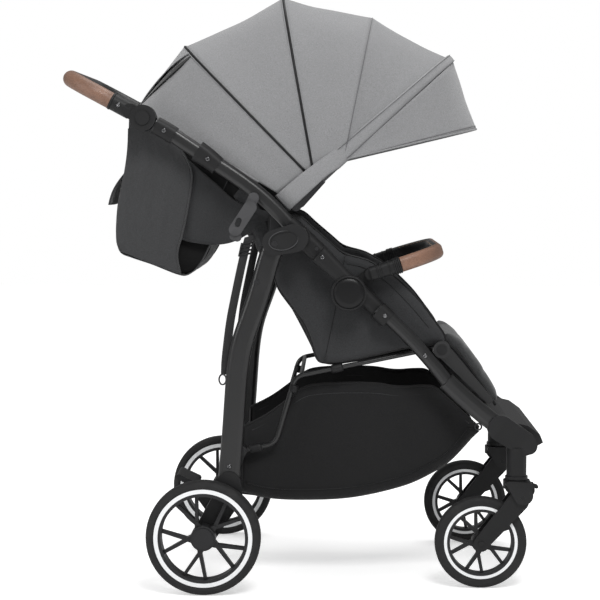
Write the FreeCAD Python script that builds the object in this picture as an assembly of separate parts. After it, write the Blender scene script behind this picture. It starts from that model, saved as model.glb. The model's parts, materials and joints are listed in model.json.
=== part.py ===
import FreeCAD, Part
import math
import os
from FreeCAD import Vector

# Folding four-wheel stroller, millimetres.
# X points forward, Y to the left, Z up. The origin is on the floor, midway along the
# length and the width. Stations below are (x, z) pairs measured from the rear axle's
# vertical line, and every piece is moved by ORIGIN_X when it is written out.

REAR_MOST = -267.5
FRONT_MOST = 626.0
ORIGIN_X = (REAR_MOST + FRONT_MOST) / 2

# wheels
REAR_WHEEL = dict(radius=105.0, width=34.0, ring_out=90.0, ring_in=82.5, rim_in=76.5, hub=28.0, cap=19.0)
FRONT_WHEEL = dict(radius=85.0, width=26.0, ring_out=68.0, ring_in=62.5, rim_in=57.0, hub=21.0, cap=14.0)
REAR_WHEEL_Y = 285.0
FRONT_WHEEL_Y = 215.0
REAR_AXLE = (0.0, 105.0)
FRONT_AXLE = (509.5, 85.0)
AXLE_R = 5.0
AXLE_TUBE_R = 11.0
RUNNING = 0.05
CASTER_X = 575.0
STEM_R = 5.0

# frame planes, measured from the middle plane
TUBE_Y = 215.0
LEG_Y = 252.0
LINK_Y = 176.0

# fold pivots
UPPER_PIVOT = (129.4, 639.4)
FRONT_PIVOT = (264.7, 548.0)
LINK_PIVOT = (65.4, 248.2)
LINK_FRONT = (400.9, 436.8)
UPPER_FOLD_DEG = 93.0
PIN_R = 6.0
LINK_PIN_R = 4.0

# side tubes
HUB = (-113.0, 868.0)
HUB_R = 24.0
UPPER_TUBE = [(-92.0, 856.0), (-62.0, 839.0), (20.0, 785.0), (65.4, 754.6), (144.0, 686.0), (209.0, 621.0)]
UPPER_TUBE_W = 28.0
TUBE_T = 20.0
SLEEVE_W = 36.0
SLEEVE_T = 25.0
FRONT_TUBE = [(318.0, 519.0), (400.9, 437.5), (445.0, 384.0)]
FRONT_TUBE_W = 25.0
LOWER_TUBE = [(445.0, 384.0), (481.0, 350.0), (541.0, 301.0)]
LOWER_TUBE_W = 34.0
REAR_LEG = [(126.0, 630.0), (117.2, 605.4), (105.4, 563.6), (71.7, 463.5), (56.6, 354.3), (47.5, 236.0),
            (43.5, 165.0)]
LEG_W = 40.0
LEG_IN = -(LEG_Y - TUBE_T / 2)
LEG_OUT = -(LEG_Y + TUBE_T / 2)
BOSS_R = 32.6
TUBE_LINE_FROM = (203.4, 628.9)
TUBE_LINE_TO = (326.8, 510.3)
SEAM = (209.0, 621.0)
LATCH_PLATE_END = (57.0, 664.0)
LATCH_HOLE = (61.5, 676.1)
LATCH_STUD_R = 3.0

# caster: half widths measured from the wheel's own plane
SUSPENSION = (584.5, 171.6)
HEAD_HALF = 26.5
CHEEK_IN = 20.8
BLADE_IN = 14.3
BLADE_T = 6.0

# seat
BACKREST_HALF_W = 150.0
SEAT_HALF_W = 163.5
SIDE_OUT = 181.0
SIDE_IN = 164.5
LEGREST_PIVOT = (437.0, 441.0)
LEGREST_HALF_W = 164.0
POCKET_HALF_W = 166.0
BASKET_HALF_W = 152.0
BASKET_WALL = 3.0

# canopy: arches at angles around one pivot, with their crown radii
CANOPY_PIVOT = (167.4, 708.6)
CANOPY_HALF_W = 196.0
CANOPY_FOOT = 40.0
BOW_REAR = (125.9, 372.0)
BOW_MID = (94.2, 395.5)
BOW_TOP = (68.2, 383.6)
BOW_FRONT = (42.8, 404.8)
CANOPY_REAR = (149.0, 360.0)
VISOR_TIP = (511.0, 852.0)
VISOR_FOOT = (247.0, 790.0)
BOW_WIRE_R = 2.2
FABRIC_T = 2.0
SLACK = 1.0

# handle and bumper bar
HANDLE_R = 11.5
GRIP_R = 15.5
HANDLE_BEND = 58.0
HANDLE_ARM_START = 26.0
GRIP_START = 64.0
HANDLE_END = (REAR_MOST + GRIP_R, 942.5)
BUMPER_ROOT = (305.0, 582.0)
BUMPER_Y = 214.0
BUMPER_END = (432.0, 622.0)
BUMPER_BEND = 84.0
LEATHER_START_DEG = 6.0


def point(station, y):
    """A station on the vertical plane at y."""
    return Vector(station[0], y, station[1])


def rod(station, radius, y0, y1):
    """Round rod along Y."""
    return Part.makeCylinder(radius, y1 - y0, point(station, y0), Vector(0, 1, 0))


def post(x, y, z0, z1, radius):
    """Round rod along Z."""
    return Part.makeCylinder(radius, z1 - z0, Vector(x, y, z0), Vector(0, 0, 1))


def block(x0, x1, y0, y1, z0, z1):
    """Box between two corners."""
    return Part.makeBox(x1 - x0, y1 - y0, z1 - z0, Vector(x0, y0, z0))


def mirrored(shape):
    """The same piece on the other side of the stroller."""
    return shape.mirror(Vector(0, 0, 0), Vector(0, 1, 0))


def pair(shape):
    """A piece on the right side and its mirror image on the left."""
    return [shape, mirrored(shape)]


def join(shapes):
    """One solid from overlapping shapes."""
    fused = shapes[0]
    for other in shapes[1:]:
        fused = fused.fuse(other)
    return fused.removeSplitter()


def direction(a, b):
    """Unit vector from station a to station b."""
    length = math.dist(a, b)
    return ((b[0] - a[0]) / length, (b[1] - a[1]) / length)


def along(start, distance, shift=0.0):
    """Station along the side tubes' common line, shifted square to it."""
    line = direction(TUBE_LINE_FROM, TUBE_LINE_TO)
    return (start[0] + line[0] * distance - line[1] * shift, start[1] + line[1] * distance + line[0] * shift)


def between(a, b, share):
    """Station part of the way from a to b."""
    return (a[0] + (b[0] - a[0]) * share, a[1] + (b[1] - a[1]) * share)


def turned(station, centre, degrees):
    """Station turned about a centre, positive from +X towards +Z."""
    angle = math.radians(degrees)
    dx, dz = station[0] - centre[0], station[1] - centre[1]
    return (
        centre[0] + dx * math.cos(angle) - dz * math.sin(angle),
        centre[1] + dx * math.sin(angle) + dz * math.cos(angle),
    )


# place on the leg that the latch hole reaches when the frame is folded
LATCH_STUD = turned(LATCH_HOLE, UPPER_PIVOT, UPPER_FOLD_DEG)


def polygon_plate(stations, y0, y1):
    """Flat plate with straight edges, extruded along Y."""
    corners = [point(s, y0) for s in stations]
    wire = Part.makePolygon(corners + corners[:1])
    return Part.Face(wire).extrude(Vector(0, y1 - y0, 0))


def bar(a, radius_a, b, radius_b, y0, y1):
    """Plate shaped like the hull of two circles."""
    length = math.dist(a, b)
    tilt = math.asin((radius_a - radius_b) / length)
    heading = math.atan2(b[1] - a[1], b[0] - a[0])
    corners = []
    for centre, radius, side in ((a, radius_a, 1), (b, radius_b, 1), (b, radius_b, -1), (a, radius_a, -1)):
        angle = heading + side * (math.pi / 2 - tilt)
        corners.append((centre[0] + radius * math.cos(angle), centre[1] + radius * math.sin(angle)))
    return join([polygon_plate(corners, y0, y1), rod(a, radius_a, y0, y1), rod(b, radius_b, y0, y1)])


def oval_section(station, heading, y, width, thickness):
    """Flat-oval closed wire across a tube: width in the side plane, thickness along Y."""
    normal = Vector(-heading[1], 0, heading[0])
    across = Vector(0, 1, 0)
    centre = point(station, y)
    flat = (width - thickness) / 2
    half = thickness / 2
    if flat < 0:
        normal, across = across, normal
        flat, half = -flat, width / 2
    a = centre + normal * flat
    b = centre - normal * flat
    arc_a = Part.Arc(a + across * half, a + normal * half, a - across * half).toShape()
    arc_b = Part.Arc(b - across * half, b - normal * half, b + across * half).toShape()
    side_1 = Part.makeLine(a - across * half, b - across * half)
    side_2 = Part.makeLine(b + across * half, a + across * half)
    return Part.Wire([arc_a, side_1, arc_b, side_2])


def oval_tube(stations, y, width, thickness, end_width=None):
    """Flat-oval tube through stations in a plane of constant y."""
    last = len(stations) - 1
    sections = []
    for i, station in enumerate(stations):
        heading = direction(stations[max(i - 1, 0)], stations[min(i + 1, last)])
        here = width if end_width is None else width + (end_width - width) * i / last
        sections.append(oval_section(station, heading, y, here, thickness))
    return Part.makeLoft(sections, True, False)


def rounded_wire(points, radii):
    """Polyline through points with its inner corners rounded."""
    edges = []
    start = points[0]
    for i in range(1, len(points) - 1):
        corner, radius = points[i], radii[i - 1]
        back = (points[i - 1] - corner).normalize()
        ahead = (points[i + 1] - corner).normalize()
        half_angle = back.getAngle(ahead) / 2
        reach = radius / math.tan(half_angle)
        middle = (back + ahead).normalize()
        top = corner + middle * (radius / math.sin(half_angle) - radius)
        edges.append(Part.makeLine(start, corner + back * reach))
        edges.append(Part.Arc(corner + back * reach, top, corner + ahead * reach).toShape())
        start = corner + ahead * reach
    edges.append(Part.makeLine(start, points[-1]))
    return Part.Wire(edges)


def round_pipe(wire, radius):
    """Solid round bar along a wire."""
    edge = wire.Edges[0]
    start = edge.valueAt(edge.FirstParameter)
    heading = edge.tangentAt(edge.FirstParameter)
    circle = Part.Wire(Part.Circle(start, heading, radius).toShape())
    return wire.makePipeShell([circle], True, False)


def ring_about_y(station, y_mid, profile):
    """Solid of revolution about the Y line through a station; profile holds (radius, y offset)."""
    corners = [Vector(station[0] + r, y_mid + dy, station[1]) for r, dy in profile]
    face = Part.Face(Part.makePolygon(corners + corners[:1]))
    return face.revolve(point(station, y_mid), Vector(0, 1, 0), 360)


# ---------------------------------------------------------------- wheels

def tyre(station, y, wheel):
    """Foam tyre with a rounded tread."""
    shoulder = 0.30 * wheel["width"]
    half = wheel["width"] / 2
    inner, outer = wheel["ring_out"], wheel["radius"]
    profile = [(inner, -half + 2), (outer - shoulder, -half)]
    for step in range(7):
        angle = math.radians(-90 + 15 * step)
        out, across = shoulder * math.cos(angle), shoulder * math.sin(angle)
        profile.append((outer - shoulder + out, -half + shoulder + across))
    for r, dy in reversed(profile[:]):
        profile.append((r, -dy))
    unique = [p for i, p in enumerate(profile) if i == 0 or math.dist(p, profile[i - 1]) > 0.01]
    return ring_about_y(station, y, unique)


def rim_rings(station, y, wheel):
    """Pale trim ring pressed into each side of the rim."""
    half = wheel["width"] / 2 - 2
    rings = []
    for side in (-1, 1):
        profile = [
            (wheel["ring_in"], side * half),
            (wheel["ring_out"], side * half),
            (wheel["ring_out"], side * (half - 2)),
            (wheel["ring_in"], side * (half - 2)),
        ]
        rings.append(ring_about_y(station, y, profile))
    return rings


def rim(station, y, wheel):
    """Spoked rim: barrel, five pairs of spokes and a hub bored for the axle."""
    half = wheel["width"] / 2 - 2
    barrel = ring_about_y(station, y, [(wheel["rim_in"], -half), (wheel["ring_out"], -half),
                                       (wheel["ring_out"], half), (wheel["rim_in"], half)])
    for ring in rim_rings(station, y, wheel):
        barrel = barrel.cut(ring)
    hub = rod(station, wheel["hub"] * 0.82, y - half, y + half)
    parts = [barrel, hub]
    for k in range(5):
        root_angle = math.radians(42 + 72 * k)
        root = (station[0] + wheel["hub"] * math.cos(root_angle), station[1] + wheel["hub"] * math.sin(root_angle))
        parts.append(bar(station, wheel["hub"] * 0.5, root, 4.0, y - half * 0.6, y + half * 0.6))
        for lean in (-15, 15):
            angle = root_angle + math.radians(lean)
            reach = wheel["rim_in"] + 1
            tip = (station[0] + reach * math.cos(angle), station[1] + reach * math.sin(angle))
            parts.append(bar(root, 3.4, tip, 2.8, y - half * 0.45, y + half * 0.45))
    solid = join(parts)
    bore = rod(station, AXLE_R + RUNNING, y - half - 1, y + half + 1)
    pocket = rod(station, wheel["cap"], y - half - 1, y - half + 3)
    return solid.cut(bore).cut(pocket).cut(rod(station, wheel["cap"], y + half - 3, y + half + 1))


def rear_wheel(side):
    """Tyre, rim with its outer dust cap, and trim rings of one rear wheel."""
    y = side * REAR_WHEEL_Y
    return wheel_pieces(REAR_AXLE, y, REAR_WHEEL, side)


def front_wheel(side):
    """The same pieces of one front wheel, without caps, since the fork covers its hub."""
    y = side * FRONT_WHEEL_Y
    return wheel_pieces(FRONT_AXLE, y, FRONT_WHEEL, 0)


def wheel_pieces(station, y, wheel, side):
    """Nodes of one wheel as lists of solids, with a dust cap on the given side."""
    rim_solids = [rim(station, y, wheel)]
    if side:
        outer = y + side * (wheel["width"] / 2 + 1)
        inner = outer - side * 5
        cap = rod(station, wheel["cap"], min(outer, inner), max(outer, inner))
        rim_solids = [rim_solids[0].cut(cap), cap]
    return {"tyre": [tyre(station, y, wheel)], "rim": rim_solids, "ring": rim_rings(station, y, wheel)}


# ---------------------------------------------------------------- rear frame

def rear_leg():
    """Curved flat-oval leg with an eye at the fold pivot."""
    leg = oval_tube(REAR_LEG, -LEG_Y, LEG_W, TUBE_T)
    eye = rod(UPPER_PIVOT, LEG_W / 2, LEG_OUT, LEG_IN)
    leg = join([leg, eye])
    stud_hole = rod(LATCH_STUD, LATCH_STUD_R, LEG_OUT - 5, LEG_IN + 5)
    return leg.cut(rod(UPPER_PIVOT, PIN_R + RUNNING, LEG_OUT - 5, LEG_IN + 5)).cut(stud_hole)


def wheel_housing(leg):
    """Moulded housing that joins the foot of the leg to the axle."""
    foot = (44.0, 176.0)
    housing = join([
        bar(foot, 25.0, REAR_AXLE, 21.0, -265.0, -238.0),
        bar(foot, 23.0, (45.0, 200.0), 22.5, -265.0, -239.0),
    ])
    axle = join([rod(REAR_AXLE, AXLE_TUBE_R, -239.0, -230.0), rod(REAR_AXLE, AXLE_R, -270.0, -230.0)])
    return housing.cut(leg).cut(axle)


def rear_axle():
    """Cross tube between the housings, with the wheel shaft and the seat link's brackets."""
    tube = rod(REAR_AXLE, AXLE_TUBE_R, -238.0, 238.0)
    shaft = rod(REAR_AXLE, AXLE_R, -296.0, 296.0)
    bracket = bar(REAR_AXLE, 15.0, LINK_PIVOT, 9.0, -169.5, -163.5).cut(link_pin())
    return join([tube, shaft, bracket, mirrored(bracket)])


def link_pin():
    """Pin from the axle bracket to the seat link."""
    return rod(LINK_PIVOT, LINK_PIN_R, -184.0, -163.5)


def leg_fasteners():
    """Latch stud, link pin and assembly rivet of one leg."""
    latch = join([
        rod(LATCH_STUD, LATCH_STUD_R, LEG_OUT, LEG_IN),
        rod(LATCH_STUD, 4.5, LEG_OUT - 3, LEG_OUT),
        rod(LATCH_STUD, 4.0, LEG_IN, LEG_IN + 5),
    ])
    rivet_place = (46.0, 231.0)
    rivet = rod(rivet_place, 3.5, LEG_OUT - 1.6, LEG_OUT)
    return [latch, link_pin(), rivet]


def side_strap():
    """Webbing strap that hangs behind the rear leg."""
    path = [(78.0, 648.0), (60.0, 560.0), (43.0, 462.0), (38.0, 394.0)]
    return oval_tube(path, -239.0, 20.0, 2.0)


# ---------------------------------------------------------------- upper frame

def upper_tube():
    """Upper side tube from the handle hub to the middle of the frame."""
    return oval_tube(UPPER_TUBE, -TUBE_Y, UPPER_TUBE_W, TUBE_T)


def fold_housing(tube):
    """Sleeve on the upper tube with the inner ear of the rear leg's hinge."""
    sleeve = oval_tube([along(SEAM, -78), along(SEAM, -40), along(SEAM, 0)], -TUBE_Y, SLEEVE_W, SLEEVE_T)
    ear = bar(UPPER_PIVOT, 19.0, along(SEAM, -45), 17.0, -241.0, -220.0)
    nose = bar((163.0, 640.0), 17.0, along(SEAM, -45), 17.0, -241.0, -220.0)
    housing = join([sleeve, ear, nose, housing_cap()])
    return housing.cut(tube).cut(rod(UPPER_PIVOT, PIN_R, -275.0, -215.0))


def housing_cap():
    """Oval outer ear of the hinge, with a web that clears the leg."""
    plate = bar((131.0, 641.5), 23.5, (165.0, 649.5), 25.5, -270.0, -263.5)
    web = bar((176.0, 644.0), 10.0, (178.0, 660.0), 9.0, -264.0, -240.0)
    groove = bar((139.0, 641.5), 16.0, (156.0, 645.5), 16.0, -271.0, -269.0)
    groove = groove.cut(bar((139.0, 641.5), 14.4, (156.0, 645.5), 14.4, -272.0, -268.0))
    return join([plate, web]).cut(groove)


def fold_pins():
    """Hinge pins at the rear leg and at the front frame."""
    leg_pin = join([rod(UPPER_PIVOT, PIN_R, -270.0, -221.0), rod(UPPER_PIVOT, 4.5, -272.0, -270.0)])
    front_pin = rod(FRONT_PIVOT, PIN_R, -236.0, -190.0)
    return [leg_pin, front_pin]


def front_boss():
    """Round hinge boss and its arm on the upper side of the middle fold."""
    disc = rod(FRONT_PIVOT, BOSS_R, -241.0, -216.0)
    dish = rod(FRONT_PIVOT, BOSS_R - 4.0, -242.0, -239.0)
    lid = rod(FRONT_PIVOT, BOSS_R - 5.5, -241.5, -238.0)
    arm = oval_tube([along(SEAM, 1.5), along(SEAM, 40), along(SEAM, 74)], -228.0, SLEEVE_W, 22.0, 30.0)
    root = oval_tube([along(SEAM, 1.2), along(SEAM, 8), along(SEAM, 14)], -TUBE_Y, SLEEVE_W, SLEEVE_T)
    body = join([disc, arm, root]).cut(dish)
    body = join([body, lid])
    keep_out = rod(FRONT_PIVOT, BOSS_R + 1.0, -216.0, -180.0)
    return body.cut(keep_out).cut(rod(FRONT_PIVOT, PIN_R, -236.0, -180.0))


def canopy_clamp(tube):
    """Moulded clamp that holds the canopy's rear edge to the upper tube."""
    clamp = oval_tube([(-14.0, 808.0), (4.0, 796.0), (24.0, 780.0)], -TUBE_Y, 40.0, 26.0, 34.0)
    return clamp.cut(tube)


def latch_plate():
    """Hook plate that catches the leg stud when the frame is folded."""
    plate = bar((84.0, 705.0), 12.0, LATCH_PLATE_END, 12.0, -236.0, -233.5)
    lip = bar((54.0, 652.0), 8.0, (60.0, 650.0), 8.0, -233.5, -229.0)
    foot = bar((90.0, 722.0), 10.0, (84.0, 708.0), 10.0, -233.5, -225.0)
    upper_end = between(LATCH_HOLE, LATCH_PLATE_END, -0.4)
    lower_end = between(LATCH_HOLE, LATCH_PLATE_END, 0.2)
    hole = bar(upper_end, 5.2, lower_end, 5.2, -240.0, -228.0)
    return join([plate, lip, foot]).cut(hole)


def upper_rivets():
    """Rivet heads on the clamps and sleeves of the upper tube."""
    sleeve_face = -TUBE_Y - SLEEVE_T / 2
    places = [((6.0, 793.0), -228.0), (along(SEAM, -70), sleeve_face), (along(SEAM, -8, 3), sleeve_face),
              ((-74.0, 845.0), sleeve_face), (along(SEAM, 10), -239.0)]
    return [rod(place, 3.4, y - 1.6, y) for place, y in places]


def hub_base(tube):
    """Inner half of the handle hub with its tube sleeve."""
    disc = rod(HUB, HUB_R, -213.5, -200.0)
    socket = oval_tube([(-90.0, 855.0), (-78.0, 848.5), (-56.0, 835.0)], -TUBE_Y, 33.0, 25.0)
    neck = bar(HUB, 12.0, (-82.0, 851.0), 12.0, -213.5, -203.0)
    return join([disc, socket, neck]).cut(tube)


# ---------------------------------------------------------------- handle

def handle_path(distance):
    """Centre line of the U-shaped handle, from a distance along each arm."""
    start = between(HUB, HANDLE_END, distance / math.dist(HUB, HANDLE_END))
    right = [point(start, -TUBE_Y), point(HANDLE_END, -TUBE_Y)]
    left = [point(HANDLE_END, TUBE_Y), point(start, TUBE_Y)]
    return rounded_wire(right + left, [HANDLE_BEND, HANDLE_BEND])


def hub_cover(side):
    """Outer half of the handle hub, with the socket of the handle arm."""
    near = between(HUB, HANDLE_END, HANDLE_ARM_START / math.dist(HUB, HANDLE_END))
    far = between(HUB, HANDLE_END, (GRIP_START - 1) / math.dist(HUB, HANDLE_END))
    disc = rod(HUB, HUB_R, -231.0, -214.0)
    heading = direction(HUB, HANDLE_END)
    middle = between(near, far, 0.5)
    sections = [oval_section(s, heading, -TUBE_Y, 31.0, 28.5) for s in (near, middle, far)]
    socket = Part.makeLoft(sections, True, True)
    neck = bar(HUB, 14.0, near, 14.0, -229.0, -214.0)
    cover = join([disc, socket, neck]).cut(round_pipe(handle_path(HANDLE_ARM_START), HANDLE_R))
    cover = cover.cut(rod(HUB, 13.1, -232.0, -224.0))
    return cover if side < 0 else mirrored(cover)


def hub_button(side):
    """Push button in the hub's outer face."""
    button = rod(HUB, 13.0, -233.5, -227.5)
    return button if side < 0 else mirrored(button)


# ---------------------------------------------------------------- front frame

def front_arm():
    """Tongue of the middle fold and the sleeve of the front tube."""
    disc = rod(FRONT_PIVOT, BOSS_R - 2.0, -215.4, -190.0)
    arm = oval_tube([along(SEAM, 84), along(SEAM, 120), along(SEAM, 174)], -203.0, 32.0, 23.0)
    sleeve = oval_tube([along(SEAM, 152), along(SEAM, 165), along(SEAM, 178)], -TUBE_Y, SLEEVE_W, SLEEVE_T)
    return join([disc, arm, sleeve]).cut(rod(FRONT_PIVOT, PIN_R + RUNNING, -240.0, -180.0))


def front_tube():
    """Front side tube, which widens at its lower end, with the stub that faces the seat link."""
    slim = oval_tube(FRONT_TUBE, -TUBE_Y, FRONT_TUBE_W, TUBE_T)
    wide = oval_tube(LOWER_TUBE, -TUBE_Y, LOWER_TUBE_W, 24.0)
    stub = rod(LINK_FRONT, 5.0, -208.0, -184.5)
    return join([slim, wide, stub])


def front_block(tube):
    """Moulded end block with the bushed column that the caster stem turns in."""
    body = join([
        bar((545.0, 298.0), 24.0, (588.0, 270.0), 22.0, -231.0, -197.0),
        bar((575.0, 278.0), 20.0, (596.0, 266.0), 16.0, -231.0, -197.0),
        post(CASTER_X, -FRONT_WHEEL_Y, 203.0, 262.0, 18.5),
        post(CASTER_X, -FRONT_WHEEL_Y, 203.0, 209.0, 21.0),
    ])
    return body.cut(tube).cut(post(CASTER_X, -FRONT_WHEEL_Y, 190.0, 250.0, STEM_R + RUNNING))


def footrest():
    """Foot tray that ties the two front blocks together."""
    outline = [(548.0, 302.0), (566.0, 306.0), (598.0, 299.0), (620.0, 283.0), (FRONT_MOST, 268.0), (616.0, 262.0),
               (586.0, 268.0), (560.0, 284.0), (546.0, 290.0)]
    return polygon_plate(outline, -196.5, 196.5)


# ---------------------------------------------------------------- casters

def caster_hood(side):
    """Swivelling head with its stem and the two cheeks that hold the suspension pin."""
    y = -FRONT_WHEEL_Y
    stem = post(CASTER_X, y, 182.0, 248.0, STEM_R)
    collar = post(CASTER_X, y, 186.0, 202.0, 24.5)
    saddle = bar((566.0, 190.0), 13.0, (594.0, 184.0), 14.0, y - BLADE_IN + 0.8, y + BLADE_IN - 0.8)
    bridge = bar((560.0, 196.0), 6.0, (596.0, 192.0), 8.0, y - HEAD_HALF, y + HEAD_HALF)
    cheek = bar((568.0, 192.0), 10.0, (586.0, 176.0), 18.0, y - HEAD_HALF, y - CHEEK_IN)
    other = cheek.copy()
    other.translate(Vector(0, HEAD_HALF + CHEEK_IN, 0))
    head = join([stem, collar, saddle, bridge, cheek, other])
    head = head.cut(rod(SUSPENSION, 16.5, y - CHEEK_IN, y + CHEEK_IN))
    head = head.cut(block(596.0, 620.0, y - 7.5, y + 7.5, 186.5, 197.5))
    head = head.cut(rod(SUSPENSION, 4.0, y - 40.0, y + 40.0))
    return head if side < 0 else mirrored(head)


def fork(side):
    """Sprung fork: a bridge on the suspension pin and two blades to the axle."""
    y = -FRONT_WHEEL_Y
    blades = []
    for y0 in (y - BLADE_IN - BLADE_T, y + BLADE_IN):
        blades.append(bar((578.0, 164.0), 19.0, FRONT_AXLE, 14.0, y0, y0 + BLADE_T))
    solid = join(blades + [
        rod(SUSPENSION, 15.5, y - BLADE_IN - 1, y + BLADE_IN + 1),
        rod(SUSPENSION, 3.95, y - HEAD_HALF, y + HEAD_HALF),
        rod(FRONT_AXLE, AXLE_R, y - BLADE_IN - BLADE_T - 2, y + BLADE_IN + BLADE_T + 2),
    ])
    return solid if side < 0 else mirrored(solid)


def swivel_lever(side):
    """Small lever that locks the caster straight."""
    y = -FRONT_WHEEL_Y
    lever = join([
        block(597.0, 606.0, y - 7.0, y + 7.0, 187.5, 196.5),
        bar((604.0, 191.0), 3.6, (612.0, 189.0), 3.2, y - 7.0, y + 7.0),
    ])
    return lever if side < 0 else mirrored(lever)


# ---------------------------------------------------------------- seat link

def link_bar():
    """Bent wire that carries the seat and the basket."""
    corners = [point(between(LINK_PIVOT, (128.0, 262.0), 0.15), -LINK_Y), point((128.0, 262.0), -LINK_Y),
               point((165.0, 388.0), -LINK_Y), point(between((165.0, 388.0), LINK_FRONT, 0.965), -LINK_Y)]
    wire = round_pipe(rounded_wire(corners, [28.0, 26.0]), 4.5)
    eye = rod(LINK_PIVOT, 9.0, -182.0, -170.0)
    tip = rod(LINK_FRONT, 9.0, -182.0, -170.0)
    return join([wire, eye, tip]).cut(rod(LINK_PIVOT, LINK_PIN_R + RUNNING, -190.0, -160.0))


def link_frame():
    """Both link bars with the cross rod behind the seat."""
    cross = rod((176.5, 390.3), 4.0, -LINK_Y, LINK_Y)
    return join([link_bar(), mirrored(link_bar()), cross])


# ---------------------------------------------------------------- seat and legrest

def backrest():
    """Padded backrest between the side tubes."""
    outline = [(204.0, 426.0), (232.0, 442.0), (180.0, 545.0), (60.0, 735.0), (32.0, 745.0), (20.0, 722.0),
               (130.0, 545.0)]
    return polygon_plate(outline, -BACKREST_HALF_W, BACKREST_HALF_W)


def seat_pad():
    """Seat cushion on the link bars."""
    outline = [(222.0, 412.0), (300.0, 424.0), (385.0, 443.0), (428.0, 482.0), (414.0, 496.0), (372.0, 486.0),
               (240.0, 450.0)]
    return polygon_plate(outline, -SEAT_HALF_W, SEAT_HALF_W)


def seat_side():
    """Padded side of the seat, from the link bar to above the side tube."""
    outline = [(216.0, 412.0), (276.0, 419.0), (330.0, 432.0), (380.0, 446.0), (419.0, 455.5), (441.0, 460.0),
               (436.0, 472.0), (406.0, 519.0), (347.0, 577.0), (295.0, 608.0), (257.0, 620.0), (229.0, 642.0),
               (172.0, 690.0), (118.0, 690.0), (126.0, 566.0), (173.0, 492.0)]
    return polygon_plate(outline, -SIDE_OUT, -SIDE_IN)


def harness():
    """Shoulder straps with their pads and buckle, lying on the backrest."""
    outline = [(70.0, 737.0), (73.5, 739.5), (187.0, 547.0), (239.0, 460.0), (235.5, 457.5), (184.0, 545.0)]
    straps = []
    for y in (-62.0, 38.0):
        straps.append(polygon_plate(outline, y, y + 24.0))
    buckle = polygon_plate([(238.0, 462.0), (252.0, 470.0), (262.0, 462.0), (246.0, 455.0)], -24.0, 24.0)
    return straps + [buckle]


def legrest_frame():
    """Side arms of the legrest with round pivot ends, joined by a cross rod."""
    arm = bar(LEGREST_PIVOT, 14.0, (526.0, 346.0), 7.0, -189.0, -180.0)
    cross = rod((512.0, 356.0), 4.0, -182.0, 182.0)
    knob = rod(LEGREST_PIVOT, 16.0, -203.0, -189.0).cut(rod(LEGREST_PIVOT, 10.1, -204.0, -196.0))
    return join([arm, mirrored(arm), cross, knob, mirrored(knob)])


def legrest_pad():
    """Padded calf panel."""
    outline = [(434.0, 472.0), (441.0, 487.0), (476.0, 451.0), (508.0, 404.0), (536.0, 360.0), (549.0, 338.0),
               (541.0, 328.0), (505.0, 380.0), (468.0, 426.0)]
    return polygon_plate(outline, -LEGREST_HALF_W, LEGREST_HALF_W)


def legrest_button(side):
    """Push button in the legrest's pivot knob."""
    button = rod(LEGREST_PIVOT, 10.0, -204.5, -199.5)
    return button if side < 0 else mirrored(button)


# ---------------------------------------------------------------- bumper bar

def bumper_corners(start):
    """Centre line corners of the bumper bar, from a start station on each side."""
    return [point(start, -BUMPER_Y), point(BUMPER_END, -BUMPER_Y), point(BUMPER_END, BUMPER_Y), point(start, BUMPER_Y)]


def bumper_cover():
    """Leather-covered front of the bumper bar."""
    heading = direction(BUMPER_ROOT, BUMPER_END)
    upward = Vector(-heading[1], 0, heading[0])
    straight = math.dist(BUMPER_ROOT, BUMPER_END) - BUMPER_BEND
    bend_start = (BUMPER_ROOT[0] + heading[0] * straight, BUMPER_ROOT[1] + heading[1] * straight)
    bend_centre = point(bend_start, BUMPER_BEND - BUMPER_Y)
    bend_face = Part.Face(oval_section(bend_start, heading, -BUMPER_Y, 28.0, 19.0))
    bend_face.rotate(bend_centre, upward, LEATHER_START_DEG)
    front_face = bend_face.copy()
    front_face.rotate(bend_centre, upward, 90 - LEATHER_START_DEG)
    half = join([
        bend_face.revolve(bend_centre, upward, 90 - LEATHER_START_DEG),
        front_face.extrude(Vector(0, BUMPER_Y - BUMPER_BEND, 0)),
    ])
    return join([half, mirrored(half)])


def bumper_bar():
    """Inner tube, ribbed end arms and the tongues that pivot on the middle fold's axis."""
    core = round_pipe(rounded_wire(bumper_corners(BUMPER_ROOT), [BUMPER_BEND, BUMPER_BEND]), 5.5)
    arm_line = [between(BUMPER_ROOT, BUMPER_END, share) for share in (0.0, 0.22, 0.43)]
    arm = oval_tube(arm_line, -BUMPER_Y, 27.0, 19.0, 28.0)
    spigot = rod(BUMPER_ROOT, 11.0, -BUMPER_Y, -183.0)
    tongue = bar(BUMPER_ROOT, 11.0, FRONT_PIVOT, 15.0, -189.5, -183.0)
    side = join([arm, spigot, tongue])
    return join([core, side, mirrored(side)])


# ---------------------------------------------------------------- canopy

def arch_points(crown, foot, width, count=15):
    """Points of one arch as (distance from pivot, y), a superellipse on two straight legs."""
    points = []
    for i in range(count):
        t = math.pi * i / (count - 1)
        flat = 2 / 2.7
        rise = abs(math.sin(t)) ** flat
        reach = math.copysign(abs(math.cos(t)) ** flat, -math.cos(t))
        points.append((foot + (crown - foot) * rise, width * reach))
    return points


def arch_curve(degrees, crown, foot, width):
    """Smooth curve of one arch in its plane through the canopy pivot."""
    angle = math.radians(degrees)
    places = []
    for r, y in arch_points(crown, foot, width):
        places.append(Vector(CANOPY_PIVOT[0] + r * math.cos(angle), y, CANOPY_PIVOT[1] + r * math.sin(angle)))
    curve = Part.BSplineCurve()
    curve.interpolate(places)
    return curve


def bow(bow_place, foot, inset, radius):
    """Round spring-steel bow whose ends stop at the foot radius."""
    curve = arch_curve(bow_place[0], bow_place[1] - inset, CANOPY_FOOT, CANOPY_HALF_W - inset).toShape()
    wire = round_pipe(Part.Wire(curve), radius)
    return wire.cut(rod(CANOPY_PIVOT, foot, -CANOPY_HALF_W, CANOPY_HALF_W))


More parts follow.
